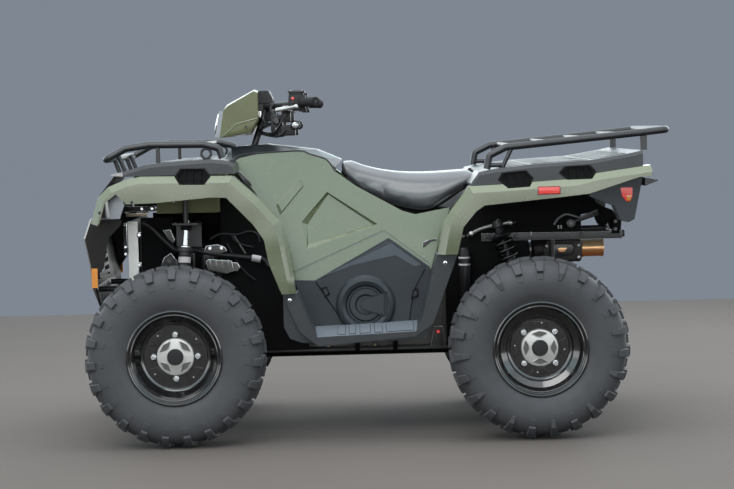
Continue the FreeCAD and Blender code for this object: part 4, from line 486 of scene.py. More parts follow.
def tread_block(bm, carcass, angle, corners, height, pieces=3, draft=1.5 * mm, chamfer=1.6 * mm):
    """Raised block on the carcass; corners are four (along, across) places round it."""
    crown = tyre_radius - lug_height
    middle = [sum(c[k] for c in corners) / 4 for k in (0, 1)]

    def grid(inset, level):
        pulled = []
        for along, across in corners:
            size = math.hypot(along - middle[0], across - middle[1])
            keep = 1 - inset / size
            pulled.append((middle[0] + (along - middle[0]) * keep, middle[1] + (across - middle[1]) * keep))
        rows = []
        for step in range(pieces + 1):
            t = step / pieces
            near = [pulled[0][k] * (1 - t) + pulled[3][k] * t for k in (0, 1)]
            far = [pulled[1][k] * (1 - t) + pulled[2][k] * t for k in (0, 1)]
            row = [carcass.point(angle + along / crown, across, level) for along, across in (near, far)]
            rows.append([bm.verts.new(place) for place in row])
        return rows

    def rim_of(rows):
        return [row[0] for row in rows] + [row[1] for row in rows[::-1]]

    foot = grid(-draft, -2 * mm)
    shoulder = grid(0, height - chamfer)
    top = grid(chamfer, height)
    ring_faces(bm, rim_of(foot), rim_of(shoulder))
    ring_faces(bm, rim_of(shoulder), rim_of(top))
    for first, second in zip(top, top[1:]):
        bm.faces.new((first[0], first[1], second[1], second[0]))
    for first, second in zip(foot, foot[1:]):
        bm.faces.new((first[0], second[0], second[1], first[1]))


def even_block(foot, tip, near, far):
    """Corners of a block that is even about its middle: half widths at its two ends, then the ends."""
    return [(-foot, near), (foot, near), (tip, far), (-tip, far)]


def front_blocks(half):
    """Tread of one half pitch of the front tyre: corner lists with their heights."""
    edge = half + 13 * mm
    return [
        ([(-14 * mm, 4 * mm), (16 * mm, 2 * mm), (20 * mm, 30 * mm), (-8 * mm, 34 * mm)], lug_height),
        ([(-24 * mm, 42 * mm), (6 * mm, 40 * mm), (10 * mm, 66 * mm), (-20 * mm, 70 * mm)], lug_height),
        (even_block(15 * mm, 13 * mm, half - 20 * mm, edge + 6 * mm), lug_height - 1 * mm),
        (even_block(13 * mm, 12 * mm, edge + 14 * mm, edge + 36 * mm), 1.8 * mm),
    ]


tread_share = 0.42


def make_tyre(corner, end):
    x, y, width = wheel_places[corner]
    side = left if y < 0 else right
    centre = Vector((x, y, axle_z))
    bm = bmesh.new()
    line = tyre_line(width)
    outer = line[::-1] + [(r, -w) for r, w in line[1:]]
    turned(bm, outer, centre, side, 120)
    low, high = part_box(f"tyre_{corner}")
    carcass = Carcass(centre, side, width, (high.y - low.y) / 2)
    half = width * tread_share
    for step in range(lug_count):
        for hand in (1, -1):
            stagger = 0.5 if side * hand > 0 else 0.0
            angle = 2 * math.pi * (step + stagger) / lug_count
            for number, (corners, height) in enumerate(front_blocks(half)):
                shifted = list(corners)
                if end == "rear" and number == 2:
                    reach = 26 * mm if step % 2 else 4 * mm
                    tip = 7 * mm if step % 2 else 13 * mm
                    far = corners[2][1] + reach
                    shifted = [corners[0], corners[1], (tip, far), (-tip, far)]
                if end == "rear" and number == 3 and step % 2:
                    continue
                signed = [(a, hand * c) for a, c in shifted]
                if hand < 0:
                    signed = signed[::-1]
                    signed = [signed[1], signed[0], signed[3], signed[2]]
                tread_block(bm, carcass, angle, signed, height)
    piece(f"tyre_tread_{corner}", bm, "tyre_rubber", f"wheel_{corner}", 32, [f"tyre_{corner}"])


for corner in wheel_places:
    make_tyre(corner, corner.split("_")[0])


# Rims

bead_share = 0.4
dish_depth = 62 * mm
front_ring = 118 * mm
rear_ring = 110 * mm
nut_circle = 78 * mm
vent_hole_inset = 22 * mm


def plug(bm, centre, side, place, radius, base, top, sides=6, material=0, chamfer=1 * mm):
    """Short upright prism on a wheel face, standing out along the axle."""
    middle = centre + Vector((place[0], 0, place[1]))
    levels = ((radius, base), (radius, top - chamfer), (radius - chamfer, top))
    rows = [wheel_ring(bm, middle, side, size, out, sides, 0.5) for size, out in levels]
    skinned(bm, rows, material)


def raised_pad(bm, centre, side, outline, base, top, material=0, chamfer=1.5 * mm):
    """Low flat-topped boss on a wheel face, from an outline of (x, z) places."""
    mid = Vector((sum(p[0] for p in outline) / len(outline), 0, sum(p[1] for p in outline) / len(outline)))
    rows = []
    for inset, out in ((0, base), (0, top - chamfer), (chamfer, top)):
        ring = []
        for px, pz in outline:
            arm = Vector((px, 0, pz)) - mid
            keep = 1 - inset / arm.length
            ring.append(bm.verts.new(centre + mid + arm * keep + Vector((0, side * out, 0))))
        rows.append(ring)
    skinned(bm, rows, material)


def make_rim(corner):
    x, y, width = wheel_places[corner]
    side = left if y < 0 else right
    front = corner.startswith("front")
    centre = Vector((x, y, axle_z))
    bead = bead_share * width
    face = bead - dish_depth
    ring = front_ring if front else rear_ring
    profile = [
        (134 * mm, -bead - 2 * mm), (165 * mm, -bead - 2 * mm), (169 * mm, -bead + 2 * mm),
        (166 * mm, -bead + 5 * mm), (151.5 * mm, -bead + 3 * mm), (151.5 * mm, bead - 3 * mm),
        (158 * mm, bead + 0.5 * mm), (166 * mm, bead + 1 * mm), (169 * mm, bead + 3 * mm),
        (168 * mm, bead + 5.4 * mm), (164 * mm, bead + 6.4 * mm), (160 * mm, bead + 5 * mm),
        (157 * mm, bead + 1.5 * mm), (154 * mm, bead + 0.5 * mm), (151 * mm, bead + 1.5 * mm),
        (148.5 * mm, bead - 1 * mm), (147 * mm, bead - 8 * mm), (144 * mm, bead - 20 * mm),
        (139 * mm, bead - 34 * mm), (ring + 9 * mm, bead - 46 * mm), (ring + 4 * mm, face + 6 * mm),
        (ring, face + 4 * mm), (ring - 4 * mm, face + 3.2 * mm), (ring - 7 * mm, face), (66 * mm, face),
    ]
    bm = bmesh.new()
    turned(bm, profile, centre, side, 128)
    nut_turn = 0 if front else math.pi / 4
    for quarter in range(4):
        turn = nut_turn + quarter * math.pi / 2
        nut = (nut_circle * math.sin(turn), nut_circle * math.cos(turn))
        plug(bm, centre, side, nut, 14 * mm, face - 1 * mm, face + 2 * mm, 32)
        plug(bm, centre, side, nut, 10.5 * mm, face, face + 7 * mm, 24, 2)
        plug(bm, centre, side, nut, 9 * mm, face, face + 14 * mm, 6, 2)
        plug(bm, centre, side, nut, 5 * mm, face, face + 18 * mm, 20, 2)
        between = turn + math.pi / 4
        pad = []
        outer = ring - 12 * mm
        for radius, spread in ((outer, 0.36), (74 * mm, 0.26), (74 * mm, -0.26), (outer, -0.36)):
            pad.append((radius * math.sin(between + spread), radius * math.cos(between + spread)))
        raised_pad(bm, centre, side, pad, face - 1 * mm, face + 3 * mm)
        reach = ring - vent_hole_inset
        hole = (reach * math.sin(between + 0.1), reach * math.cos(between + 0.1))
        plug(bm, centre, side, hole, 3 * mm, face, face + 3.6 * mm, 16, 1)
    hub = [
        (66 * mm, face - 4 * mm), (66 * mm, face + 11 * mm, 1), (64 * mm, face + 13 * mm, 1),
        (29 * mm, face + 16 * mm, 1), (27.5 * mm, face + 16 * mm, 3), (27.5 * mm, face + 33 * mm, 3),
        (25.5 * mm, face + 35.5 * mm, 3), (10 * mm, face + 36 * mm, 3), (0.01 * mm, face + 36 * mm, 3),
    ]
    turned(bm, hub, centre, side, 64)
    for quarter in range(4):
        turn = nut_turn + math.pi / 4 + quarter * math.pi / 2
        pocket = []
        for radius, spread in (
            (58 * mm, 0.42), (56 * mm, 0.50), (40 * mm, 0.22), (37 * mm, 0.0), (40 * mm, -0.22),
            (56 * mm, -0.50), (58 * mm, -0.42), (60 * mm, 0.0),
        ):
            pocket.append((radius * math.sin(turn + spread), radius * math.cos(turn + spread)))
        raised_pad(bm, centre, side, pocket, face + 10 * mm, face + 15.2 * mm, 4)
        rim_line = []
        for across, up in pocket + pocket[:1]:
            rim_line.append(centre + Vector((across, side * (face + 15 * mm), up)))
        swept(bm, rim_line, 1.5 * mm, 8, 1)
    back = [
        (66 * mm, face - 3 * mm), (66 * mm, face - 46 * mm), (30 * mm, face - 46 * mm),
        (18 * mm, face - 45 * mm),
    ]
    turned(bm, back, centre, side, 48)
    inner = [
        (145 * mm, -bead + 3 * mm), (141 * mm, -bead + 40 * mm), (132 * mm, 0), (134 * mm, face - 12 * mm),
        (ring, face - 4 * mm), (66 * mm, face - 4 * mm),
    ]
    turned(bm, inner, centre, side, 96)
    lip = [(134 * mm, -bead - 2 * mm), (145 * mm, -bead + 3 * mm)]
    turned(bm, lip, centre, side, 96)
    kinds = ["rim_black", "hub_silver", "bright_steel", "control_black", "engine_metal"]
    piece(f"rim_disc_{corner}", bm, kinds, f"wheel_{corner}", 28, [f"rim_{corner}"])


for corner in wheel_places:
    make_rim(corner)


# Shapes in millimetres for the fittings

front_axle_x = -709.75
rear_axle_x = 573.25
sides = (left, right)
outward = Vector((0, -1, 0))
upward = Vector((0, 0, 1))
rearward = Vector((1, 0, 0))


def at(x, y, z):
    """Place in metres from a place in millimetres."""
    return Vector((x, y, z)) * mm


def softened(bm, faces, size, segments=2):
    edges = list({edge for face in faces for edge in face.edges})
    bmesh.ops.bevel(
        bm, geom=edges, offset=size * mm, segments=segments, profile=0.7, affect="EDGES",
        clamp_overlap=True,
    )


def slab(bm, outline, near, far, soft=1.0, material=0):
    """Plate from an outline of (x, z) places between two distances across, with softened edges."""
    rows = [[bm.verts.new(at(x, y, z)) for x, z in outline] for y in (near, far)]
    faces = [bm.faces.new(rows[0]), bm.faces.new(rows[1])]
    for index in range(len(outline)):
        after = (index + 1) % len(outline)
        faces.append(bm.faces.new((rows[0][index], rows[0][after], rows[1][after], rows[1][index])))
    for face in faces:
        face.material_index = material
    if soft:
        softened(bm, faces, soft)


def brick(bm, low, high, soft=1.0, material=0):
    outline = [(low[0], low[2]), (high[0], low[2]), (high[0], high[2]), (low[0], high[2])]
    slab(bm, outline, low[1], high[1], soft, material)


def side_brick(bm, side, low, high, soft=1.0, material=0):
    """Block on the vehicle's left or right, from corners given for the right."""
    y_low, y_high = sorted((side * low[1], side * high[1]))
    brick(bm, (low[0], y_low, low[2]), (high[0], y_high, high[2]), soft, material)


def lathe(bm, base, axis, profile, sides=32, material=0, hoop=False):
    """Turns a (radius, height) profile about an axis that starts at base; a hoop is closed on itself."""
    along = axis.normalized()
    across = along.orthogonal().normalized()
    other = along.cross(across)
    rows = []
    for radius, height in profile:
        row = []
        for step in range(sides):
            turn = 2 * math.pi * step / sides
            arm = across * math.cos(turn) + other * math.sin(turn)
            row.append(bm.verts.new(base + along * (height * mm) + arm * (radius * mm)))
        rows.append(row)
    if not hoop:
        skinned(bm, rows, material)
        return
    for first, second in zip(rows, rows[1:] + rows[:1]):
        ring_faces(bm, first, second, material)


def bolt(bm, place, axis, size=7.0, material=0):
    """Flanged hex head on a face; size is half its width."""
    lathe(bm, place, axis, [(size * 1.35, -0.5), (size * 1.35, 0.8), (size * 1.2, 1.4)], 24, material)
    lathe(bm, place, axis, [(size, 0.5), (size, size * 0.75), (size * 0.86, size * 0.9)], 6, material)


def button(bm, place, axis, size=6.0, material=0, socket=1):
    """Domed screw with a dark socket: a flat dark hex on the dome that paints the shade of the recess."""
    dome = [(size, -0.5), (size, 0.6), (size * 0.86, size * 0.34), (size * 0.5, size * 0.46)]
    lathe(bm, place, axis, dome, 28, material)
    lathe(bm, place, axis, [(size * 0.42, 0.5), (size * 0.42, size * 0.5)], 6, socket)


def tube(bm, points, radius, sides=12, material=0, steps=6):
    """Smooth bar through places in millimetres."""
    swept(bm, [at(*point) for point in smooth_line(points, steps)], radius * mm, sides, material)


def wound(bm, foot, top, radius, wire, turns, material=0, steps=22):
    """Coil spring between two places."""
    along = (top - foot).normalized()
    across = along.orthogonal().normalized()
    other = along.cross(across)
    count = int(turns * steps)
    path = []
    for step in range(count + 1):
        turn = 2 * math.pi * step / steps
        arm = across * math.cos(turn) + other * math.sin(turn)
        path.append(foot + (top - foot) * (step / count) + arm * (radius * mm))
    swept(bm, path, wire * mm, 10, material)


def hung(points, side):
    """The same places on the vehicle's left or right."""
    return [(x, side * abs(y), z) for x, y, z in points]


def lay_lines(bm, lines, side):
    """Hoses and cables from a table of radius, sides, material and places."""
    for radius, sides, material, places in lines:
        tube(bm, hung(places, side), radius, sides, material)


# Front struts

ball_z = 232.0
strut_top_z = 776.0
ball_y = 416.0
strut_top_y = 330.0
strut_lean = 33.0


def king_pin(side, z):
    """Place at a height on the line that a front wheel steers about."""
    share = (z - ball_z) / (strut_top_z - ball_z)
    y = ball_y + (strut_top_y - ball_y) * share
    return at(front_axle_x + 1.0 + strut_lean * share, side * y, z)


def make_strut_rods():
    bm = bmesh.new()
    for side in sides:
        foot = king_pin(side, 695.0)
        top = king_pin(side, 775.0)
        axis = top - foot
        lathe(bm, foot, axis, [(10.6, 0), (10.6, 62)], 32)
        boot = [(12, 60), (19, 62), (16, 65), (21, 68), (17, 71), (23, 74), (23, 78)]
        lathe(bm, foot, axis, boot, 32, 1)
        bolt(bm, king_pin(side, 782.0), upward, 11, 0)
        lathe(bm, king_pin(side, 782.0), upward, [(5, 0), (5, 18), (4, 19)], 20, 0)
    piece("strut_rods", bm, ["bright_steel", "control_black"], "chassis")


def make_strut_collars(side, hand):
    bm = bmesh.new()
    axis = king_pin(side, 700.0) - king_pin(side, 600.0)
    lathe(bm, king_pin(side, 692.3), axis, [(18, 0), (19, 1.5), (19, 5), (14, 8), (12, 8)], 36, 0)
    lathe(bm, king_pin(side, 638.0), axis, [(22.6, 0), (22.6, 21)], 40, 1)
    for z in (634.0, 662.0):
        lathe(bm, king_pin(side, z), axis, [(23.4, 0), (24, 1), (23.4, 3)], 40, 2)
    kinds = ["bright_steel", "pale_band", "control_black"]
    piece(f"strut_collar_{hand}", bm, kinds, f"knuckle_{hand}")


make_strut_rods()
make_strut_collars(left, "left")
make_strut_collars(right, "right")


# Front wheel house fittings

radiator_front_x = -893.0
radiator_low_z = 566.0
radiator_high_z = 786.0
radiator_fins = 30


def make_radiator_fins():
    bm = bmesh.new()
    pitch = (radiator_high_z - radiator_low_z - 12) / radiator_fins
    for fin in range(radiator_fins):
        z = radiator_low_z + 6 + (fin + 0.5) * pitch
        brick(bm, (radiator_front_x - 3.5, -181, z - 1), (radiator_front_x + 1, 181, z + 1), 0)
    for y in range(-160, 161, 32):
        low = (radiator_front_x - 2.5, y - 1.5, radiator_low_z + 2)
        brick(bm, low, (radiator_front_x + 1, y + 1.5, radiator_high_z - 2), 0)
    for side in sides:
        for z in (radiator_low_z + 4, radiator_high_z - 4):
            brick(bm, (-900, side * 200 - 19, z - 5), (-861.6, side * 200 + 19, z + 5), 2)
    lathe(bm, at(-880, 150, 786), upward, [(14, 0), (14, 12), (22, 13), (22, 20), (19, 22)], 32)
    piece("radiator_core", bm, "radiator_metal", "chassis")


bracket_outline = [(-903, 805), (-830, 806), (-824, 811), (-824, 818), (-903, 816)]
knuckle_clip_outline = [(-768, 752), (-742, 754), (-727, 716), (-733, 704), (-752, 720)]
arm_clip_outline = [(-780, 622), (-766, 654), (-742, 668), (-722, 642), (-716, 620), (-742, 612)]
casting_upper = [(-620, 672), (-612, 692), (-572, 697), (-545, 688), (-536, 672), (-560, 664)]
casting_lower = [(-614, 636), (-604, 644), (-520, 636), (-512, 600), (-540, 590), (-608, 606)]
casting_foot = [(-524, 630), (-500, 628), (-490, 612), (-500, 597), (-522, 600)]

# Radius, sides, material and places of each line
front_lines = [
    (4, 10, 2, [
        (-598, 238, 716), (-560, 240, 734), (-500, 238, 731), (-452, 236, 741), (-424, 236, 728),
        (-418, 236, 700),
    ]),
    (3, 10, 2, [(-520, 236, 728), (-505, 238, 708), (-470, 236, 690), (-440, 236, 684)]),
    (9, 16, 2, [
        (-662, 240, 680), (-600, 242, 665), (-508, 242, 652), (-440, 241, 643), (-404, 240, 636),
        (-386, 238, 610),
    ]),
    (11, 18, 2, [
        (-842, 246, 784), (-807, 247, 761), (-770, 248, 722), (-734, 248, 688), (-716, 246, 676),
    ]),
    (3, 10, 2, [(-538, 236, 700), (-506, 236, 640), (-472, 236, 592), (-436, 236, 562)]),
    (3.4, 10, 3, [(-512, 237, 731), (-494, 237, 700), (-470, 237, 660)]),
]


def make_front_fittings():
    bm = bmesh.new()
    for side in sides:
        near = side * 231.4
        slab(bm, bracket_outline, side * 218, side * 226, 1, 1)
        for x, z in ((-857, 738), (-861, 627)):
            leg_y = side * (178 + (z - 292) * 0.102)
            brick(bm, (x - 9, leg_y - 3, z - 9), (x + 8, leg_y + 3, z + 9), 1, 2)
            bolt(bm, at(x, leg_y + side * 3, z), outward * -side, 5, 0)
        for x, z in ((-909, 694), (-909, 668), (-909, 775), (-845, 832), (-808, 832)):
            bolt(bm, at(x, side * 220, z), outward * -side, 4, 0)
        slab(bm, [(-920, 822), (-796, 824), (-796, 842), (-920, 842)], side * 215, side * 219.6, 1, 2)
        side_brick(bm, side, (-915, 217.5, 660), (-902, 219.6, 782), 1, 2)
        slab(bm, knuckle_clip_outline, side * 228, side * 234, 0.6, 3)
        slab(bm, arm_clip_outline, side * 228, side * 240, 0.6, 4)
        bolt(bm, at(-748, side * 240, 640), outward * -side, 8, 3)
        lay_lines(bm, front_lines, side)
        sleeve = at(-447, side * 241, 645)
        lathe(bm, sleeve, at(-415, side * 241, 638) - sleeve, [(12.5, 0), (12.5, 33)], 24, 5)
        slab(bm, casting_upper, near, side * 254, 0.8, 3)
        slab(bm, casting_lower, near, side * 262, 0.8, 3)
        slab(bm, casting_foot, near, side * 252, 0.8, 3)
        for rib in range(4):
            x = -600 + rib * 22
            side_brick(bm, side, (x, 258, 606), (x + 4, 267, 641), 0.4, 3)
        for x, z in ((-606, 628), (-526, 624), (-532, 600), (-598, 684), (-556, 684)):
            bolt(bm, at(x, side * 257, z), outward * -side, 5, 0)
    kinds = ["bright_steel", "bracket_tan", "control_black", "engine_metal", "knuckle_iron", "pale_band"]
    piece("front_arch_fittings", bm, kinds, "chassis")


nose_liner_outline = [(-884, 904), (-876, 904), (-812, 988), (-820, 990)]
airbox_outline = [(-735, 700), (-560, 700), (-505, 735), (-460, 800), (-460, 880), (-560, 905), (-735, 905)]


def make_airbox():
    """Black air box in two halves, one each side of the steering post."""
    bm = bmesh.new()
    for side in sides:
        slab(bm, airbox_outline, side * 45, side * 72, 6, 0)
        for rib in range(6):
            x = -715 + rib * 44
            side_brick(bm, side, (x, 68, 716), (x + 5, 77, 892), 1.5, 0)
        cap = [(40, 0), (40, 8), (34, 12), (12, 13)]
        lathe(bm, at(-600, side * 70, 790), Vector((0, side, 0)), cap, 40, 0)
    slab(bm, nose_liner_outline, -430, 430, 1.5, 0)
    piece("airbox", bm, "belly_plastic", "chassis")


make_radiator_fins()
make_front_fittings()
make_airbox()


# Rear shocks, exhaust and rear wheel house fittings

shock_foot = (546.89, 300.0, 440.0)
shock_top = (453.25, 262.0, 735.0)


def make_coil_overs():
    bm = bmesh.new()
    for side in sides:
        foot = at(shock_foot[0], side * shock_foot[1], shock_foot[2])
        top = at(shock_top[0], side * shock_top[1], shock_top[2])
        axis = top - foot
        length = axis.length / mm
        body = [
            (12, 0), (19, 2), (19, 30), (35, 33), (37, 37), (35, 41), (23, 44), (23, length * 0.62),
            (21, length * 0.64), (9, length * 0.65), (9, length * 0.84), (20, length * 0.85),
            (35, length * 0.88), (37, length * 0.895), (34, length * 0.91), (18, length * 0.93),
            (15, length - 1), (10, length),
        ]
        lathe(bm, foot, axis, body, 36, 1)
        run = axis.normalized()
        wound(bm, foot + run * (42 * mm), foot + run * ((length * 0.88) * mm), 31.5, 5.6, 8.5)
        lathe(bm, foot + run * (34 * mm), axis, [(36.5, 0), (37.5, 2), (36.5, 4)], 36, 2)
    kinds = ["shock_black", "control_black", "hub_silver"]
    piece("coil_overs", bm, kinds, "chassis", 40, ["rear_shocks"])


exhaust_z = 636.7
silencer_shield = [
    (634, 642), (650, 670), (758, 670), (778, 652), (778, 610), (764, 596), (654, 592), (634, 608),
]
shield_window = [(657, 640), (668, 656), (738, 656), (750, 641), (738, 617), (672, 614)]
window_glow = [(688, 642), (724, 642), (714, 626), (692, 626)]
exhaust_run = [
    (289, 60, 560), (360, 70, 575), (440, 72, 606), (510, 40, 632), (560, 4, 636), (598, 0, exhaust_z),
]


def make_silencer():
    bm = bmesh.new()
    base = at(591.25, 0, exhaust_z)
    shell = [
        (26, 0), (44, 3), (50, 8), (51.6, 14), (50.6, 17), (50.6, 60), (51.6, 62), (51.6, 66), (50.6, 68),
        (50.6, 150), (51.8, 152), (51.8, 158), (50, 160), (51, 182), (46, 188), (34, 190),
    ]
    lathe(bm, base, rearward, shell, 56, 0)
    slab(bm, silencer_shield, -55.5, -24, 4, 0)
    slab(bm, [(x, 2 * exhaust_z - z) for x, z in silencer_shield], 24, 55.5, 4, 0)
    tube(bm, [(x, -56, z) for x, z in shield_window + shield_window[:1]], 2.2, 10, 0, 3)
    slab(bm, shield_window, -56.2, -55, 0.4, 1)
    slab(bm, window_glow, -57, -56, 0.4, 2)
    for x, z in ((646, 650), (766, 650), (646, 604), (766, 606)):
        bolt(bm, at(x, -55.5, z), outward, 4, 3)
    tube(bm, exhaust_run, 22, 28, 0, 10)
    for x, material in ((566, 2), (586, 3)):
        lathe(bm, at(x, 0, exhaust_z), rearward, [(24, 0), (27, 1), (27, 9), (24, 10)], 40, material)
    kinds = ["exhaust_steel", "gloss_dark", "tailpipe_bronze", "hub_silver"]
    piece("silencer_body", bm, kinds, "chassis", 35, ["silencer"])


def make_tailpipe_rings():
    bm = bmesh.new()
    for x, grow in ((783, 2.2), (855, 1.4)):
        ring = [(29.5, 0), (32 + grow, 0.6), (32 + grow, 6), (29.5, 6.8)]
        lathe(bm, at(x, 0, exhaust_z), rearward, ring, 48, 0, True)
    piece("tailpipe_rings", bm, "tailpipe_bronze", "chassis")


breather_line = [
    (350, 232, 708), (366, 232, 718), (392, 232, 729), (426, 232, 738), (462, 232, 745), (508, 232, 750),
]
channel_outline = [(394, 684), (909, 682), (909, 708), (394, 712)]
channel_holes = [(631, 701), (671, 702), (712, 700), (796, 697), (843, 695), (885, 693)]
latch_line = [
    (659, 235, 738), (674, 235, 760), (702, 235, 775), (728, 235, 770), (757, 235, 764), (799, 235, 780),
    (818, 235, 787),
]


def make_rear_fittings():
    bm = bmesh.new()
    for side in sides:
        line = [at(*p) for p in smooth_line(hung(breather_line, side), 12)]
        swept(bm, line, [(7.0 if index % 2 else 5.2) * mm for index in range(len(line))], 14, 0)
        for end, after in ((0, 1), (-1, -2)):
            axis = line[end] - line[after]
            lathe(bm, line[end], axis, [(8.5, -14), (9.5, -12), (9.5, -4), (8.5, -2)], 20, 0)
            lathe(bm, line[end], axis, [(7, -3), (7, 12)], 20, 2)
        lathe(bm, at(329, side * 238, 470), upward, [(19, 0), (21, 4), (21, 186), (18, 192)], 36, 2)
        for z in (598, 623):
            lathe(bm, at(329, side * 238, z), upward, [(21.6, 0), (21.6, 6.5)], 36, 1)
        slab(bm, channel_outline, side * 216.4, side * 219.6, 0.6, 3)
        for z_low, z_high in ((682, 685), (706, 709)):
            side_brick(bm, side, (765, 200, z_low), (909, 219, z_high), 0.4, 3)
        # Each hole is a thin dark disc on the channel: painted shade of the hole.
        for x, z in channel_holes:
            lathe(bm, at(x, side * 219.4, z), outward * -side, [(4.2, 0), (4.2, 0.6)], 20, 4)
        for x in (420, 520, 760):
            bolt(bm, at(x, side * 219.6, 698), outward * -side, 6, 3)
        tube(bm, hung(latch_line, side), 4.5, 12, 5)
        tube(bm, hung([(716, 228, 744), (760, 228, 757), (821, 228, 776)], side), 8, 14, 3)
        lathe(bm, at(720, side * 216.5, 742), outward * -side, [(17, 0), (17, 18), (14, 20)], 32, 3)
        bolt(bm, at(720, side * 236.5, 742), outward * -side, 6, 5)
        for x, z in ((573, 700), (674, 722), (684, 722)):
            brick(bm, (x, side * 221.5 - 2.5, z), (x + 4.5, side * 221.5 + 2.5, z + 13), 0.6, 1)
        slab(bm, [(200, 300), (252, 300), (246, 372), (214, 372)], side * 178.4, side * 183, 1, 3)
        lathe(bm, at(229, side * 183, 352), outward * -side, [(7, 0), (7, 4), (5, 6)], 24, 6)
        for x in (-176, -4):
            lathe(bm, at(x, side * 168, 303), upward, [(9, 0), (9, 6), (6, 7), (6, 12)], 20, 7)
    kinds = [
        "hub_silver", "pale_band", "control_black", "frame_steel", "gloss_dark", "gearcase_metal",
        "red_lens", "bracket_tan",
    ]
    piece("rear_arch_fittings", bm, kinds, "chassis")


tub_outline = [
    (700, 893), (700, 779), (712, 781), (736, 766), (791, 778), (832, 788), (852, 756), (866, 716),
    (906, 712), (909, 746), (888, 765), (876, 787), (842, 798), (818, 812), (800, 840), (806, 893),
]


def make_rear_tub():
    """Black liner behind the wheel, with its bracket down to the rail."""
    bm = bmesh.new()
    for side in sides:
        slab(bm, tub_outline, side * 207, side * 212, 2, 0)
        slab(bm, [(870, 700), (900, 700), (902, 742), (878, 762)], side * 211, side * 226, 2, 0)
        for x, z in ((884, 716), (884, 744)):
            bolt(bm, at(x, side * 226, z), outward * -side, 5, 1)
    for x, z in ((720, 886), (790, 860)):
        brick(bm, (x - 5, -208, z - 20), (x + 5, 208, z + 6), 2, 0)
    piece("rear_tub", bm, ["belly_plastic", "gearcase_metal"], "chassis")


make_coil_overs()
make_rear_tub()
make_silencer()
make_tailpipe_rings()
make_rear_fittings()


# Drive boots, skid plate and engine rear

axle_height = 320
shaft_start = 64.7
front_shaft_end = 330.0
rear_shaft_end = 345.3
boot_length = 70
boot_folds = 6
boot_small = 15
boot_large = 38


def make_boot_bands():
    """Folds and clamp bands on the rubber boots at both ends of each drive shaft."""
    bm = bmesh.new()
    for x, end in ((front_axle_x, front_shaft_end), (rear_axle_x, rear_shaft_end)):
        for side in sides:
            for start, small_first in ((shaft_start, False), (end - boot_length, True)):
                for rib in range(boot_folds):
                    share = (rib + 0.5) / boot_folds
                    near = boot_small + (boot_large - boot_small) * (share if small_first else 1 - share)
                    place = at(x, side * (start + boot_length * share), axle_height)
                    fold = [(near - 2, -4), (near + 2.6, -1.5), (near + 2.6, 1.5), (near - 2, 4)]
                    lathe(bm, place, Vector((0, side, 0)), fold, 32, 0, True)
                radii = (boot_small, boot_large) if small_first else (boot_large, boot_small)
                for distance, radius in zip((2, boot_length - 2), radii):
                    place = at(x, side * (start + distance), axle_height)
                    band = [(radius - 1, -4), (radius + 2, -3), (radius + 2, 3), (radius - 1, 4)]
                    lathe(bm, place, Vector((0, side, 0)), band, 32, 1, True)
    piece("boot_bands", bm, ["grip_rubber", "hub_silver"], "chassis")


def make_skid_bolts():
    bm = bmesh.new()
    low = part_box("skid_plate")[0].z / mm
    for x in range(-520, 421, 188):
        for y in (-150, 150):
            button(bm, at(x, y, low), -upward, 8, 0, 1)
    for x in range(-430, 391, 164):
        brick(bm, (x - 40, -9, low - 1.6), (x + 40, 9, low + 1), 1, 1)
        for y in (-75, 75):
            brick(bm, (x - 40, y - 7, low - 1.6), (x + 40, y + 7, low + 1), 1, 1)
    piece("skid_fittings", bm, ["hub_silver", "control_black"], "chassis")


engine_rear_x = 288.25


def make_engine_rear():
    bm = bmesh.new()
    x = engine_rear_x
    lathe(bm, at(x, 0, 420), rearward, [(98, 0), (98, 9), (94, 12), (60, 14), (56, 20), (30, 22)], 56)
    lathe(bm, at(x, 70, 540), rearward, [(52, 0), (52, 10), (48, 13)], 48)
    brick(bm, (x, -135, 480), (x + 16, -20, 610), 4)
    for fin in range(6):
        brick(bm, (x, -140, 492 + fin * 20), (x + 24, -15, 496 + fin * 20), 1)
    for step in range(8):
        turn = 2 * math.pi * step / 8
        bolt(bm, at(x + 11, 86 * math.sin(turn), 420 + 86 * math.cos(turn)), rearward, 6, 1)
    for step in range(5):
        turn = 2 * math.pi * step / 5
        bolt(bm, at(x + 12, 70 + 42 * math.sin(turn), 540 + 42 * math.cos(turn)), rearward, 5, 1)
    piece("engine_rear", bm, ["engine_metal", "hub_silver"], "chassis")


make_boot_bands()
make_skid_bolts()
make_engine_rear()


# Panel fasteners and deck ribs

clip_outline = [
    (177, 684), (182, 690), (206, 696), (229, 699), (229, 694), (207, 690), (187, 671), (180, 664),
    (176, 670),
]
front_slot = [(-196, 533), (-175, 537), (-163, 506), (-183, 495)]
rear_slot = [(137, 517), (156, 524), (156, 491), (129, 484)]
upper_facet = [(-198, 570), (-85, 610), (-27, 623), (76, 644), (143, 602), (170, 607), (61, 689)]
panel_seam = [
    (-507, 998), (-489, 1017), (-431, 1025), (-372, 1027), (-261, 1030), (-227, 1018), (-169, 998),
    (-146, 971), (-137, 953),
]
fender_strip = [(-498, 962), (-483, 962), (-452, 926), (-403, 866), (-411, 856), (-424, 862), (-470, 920)]


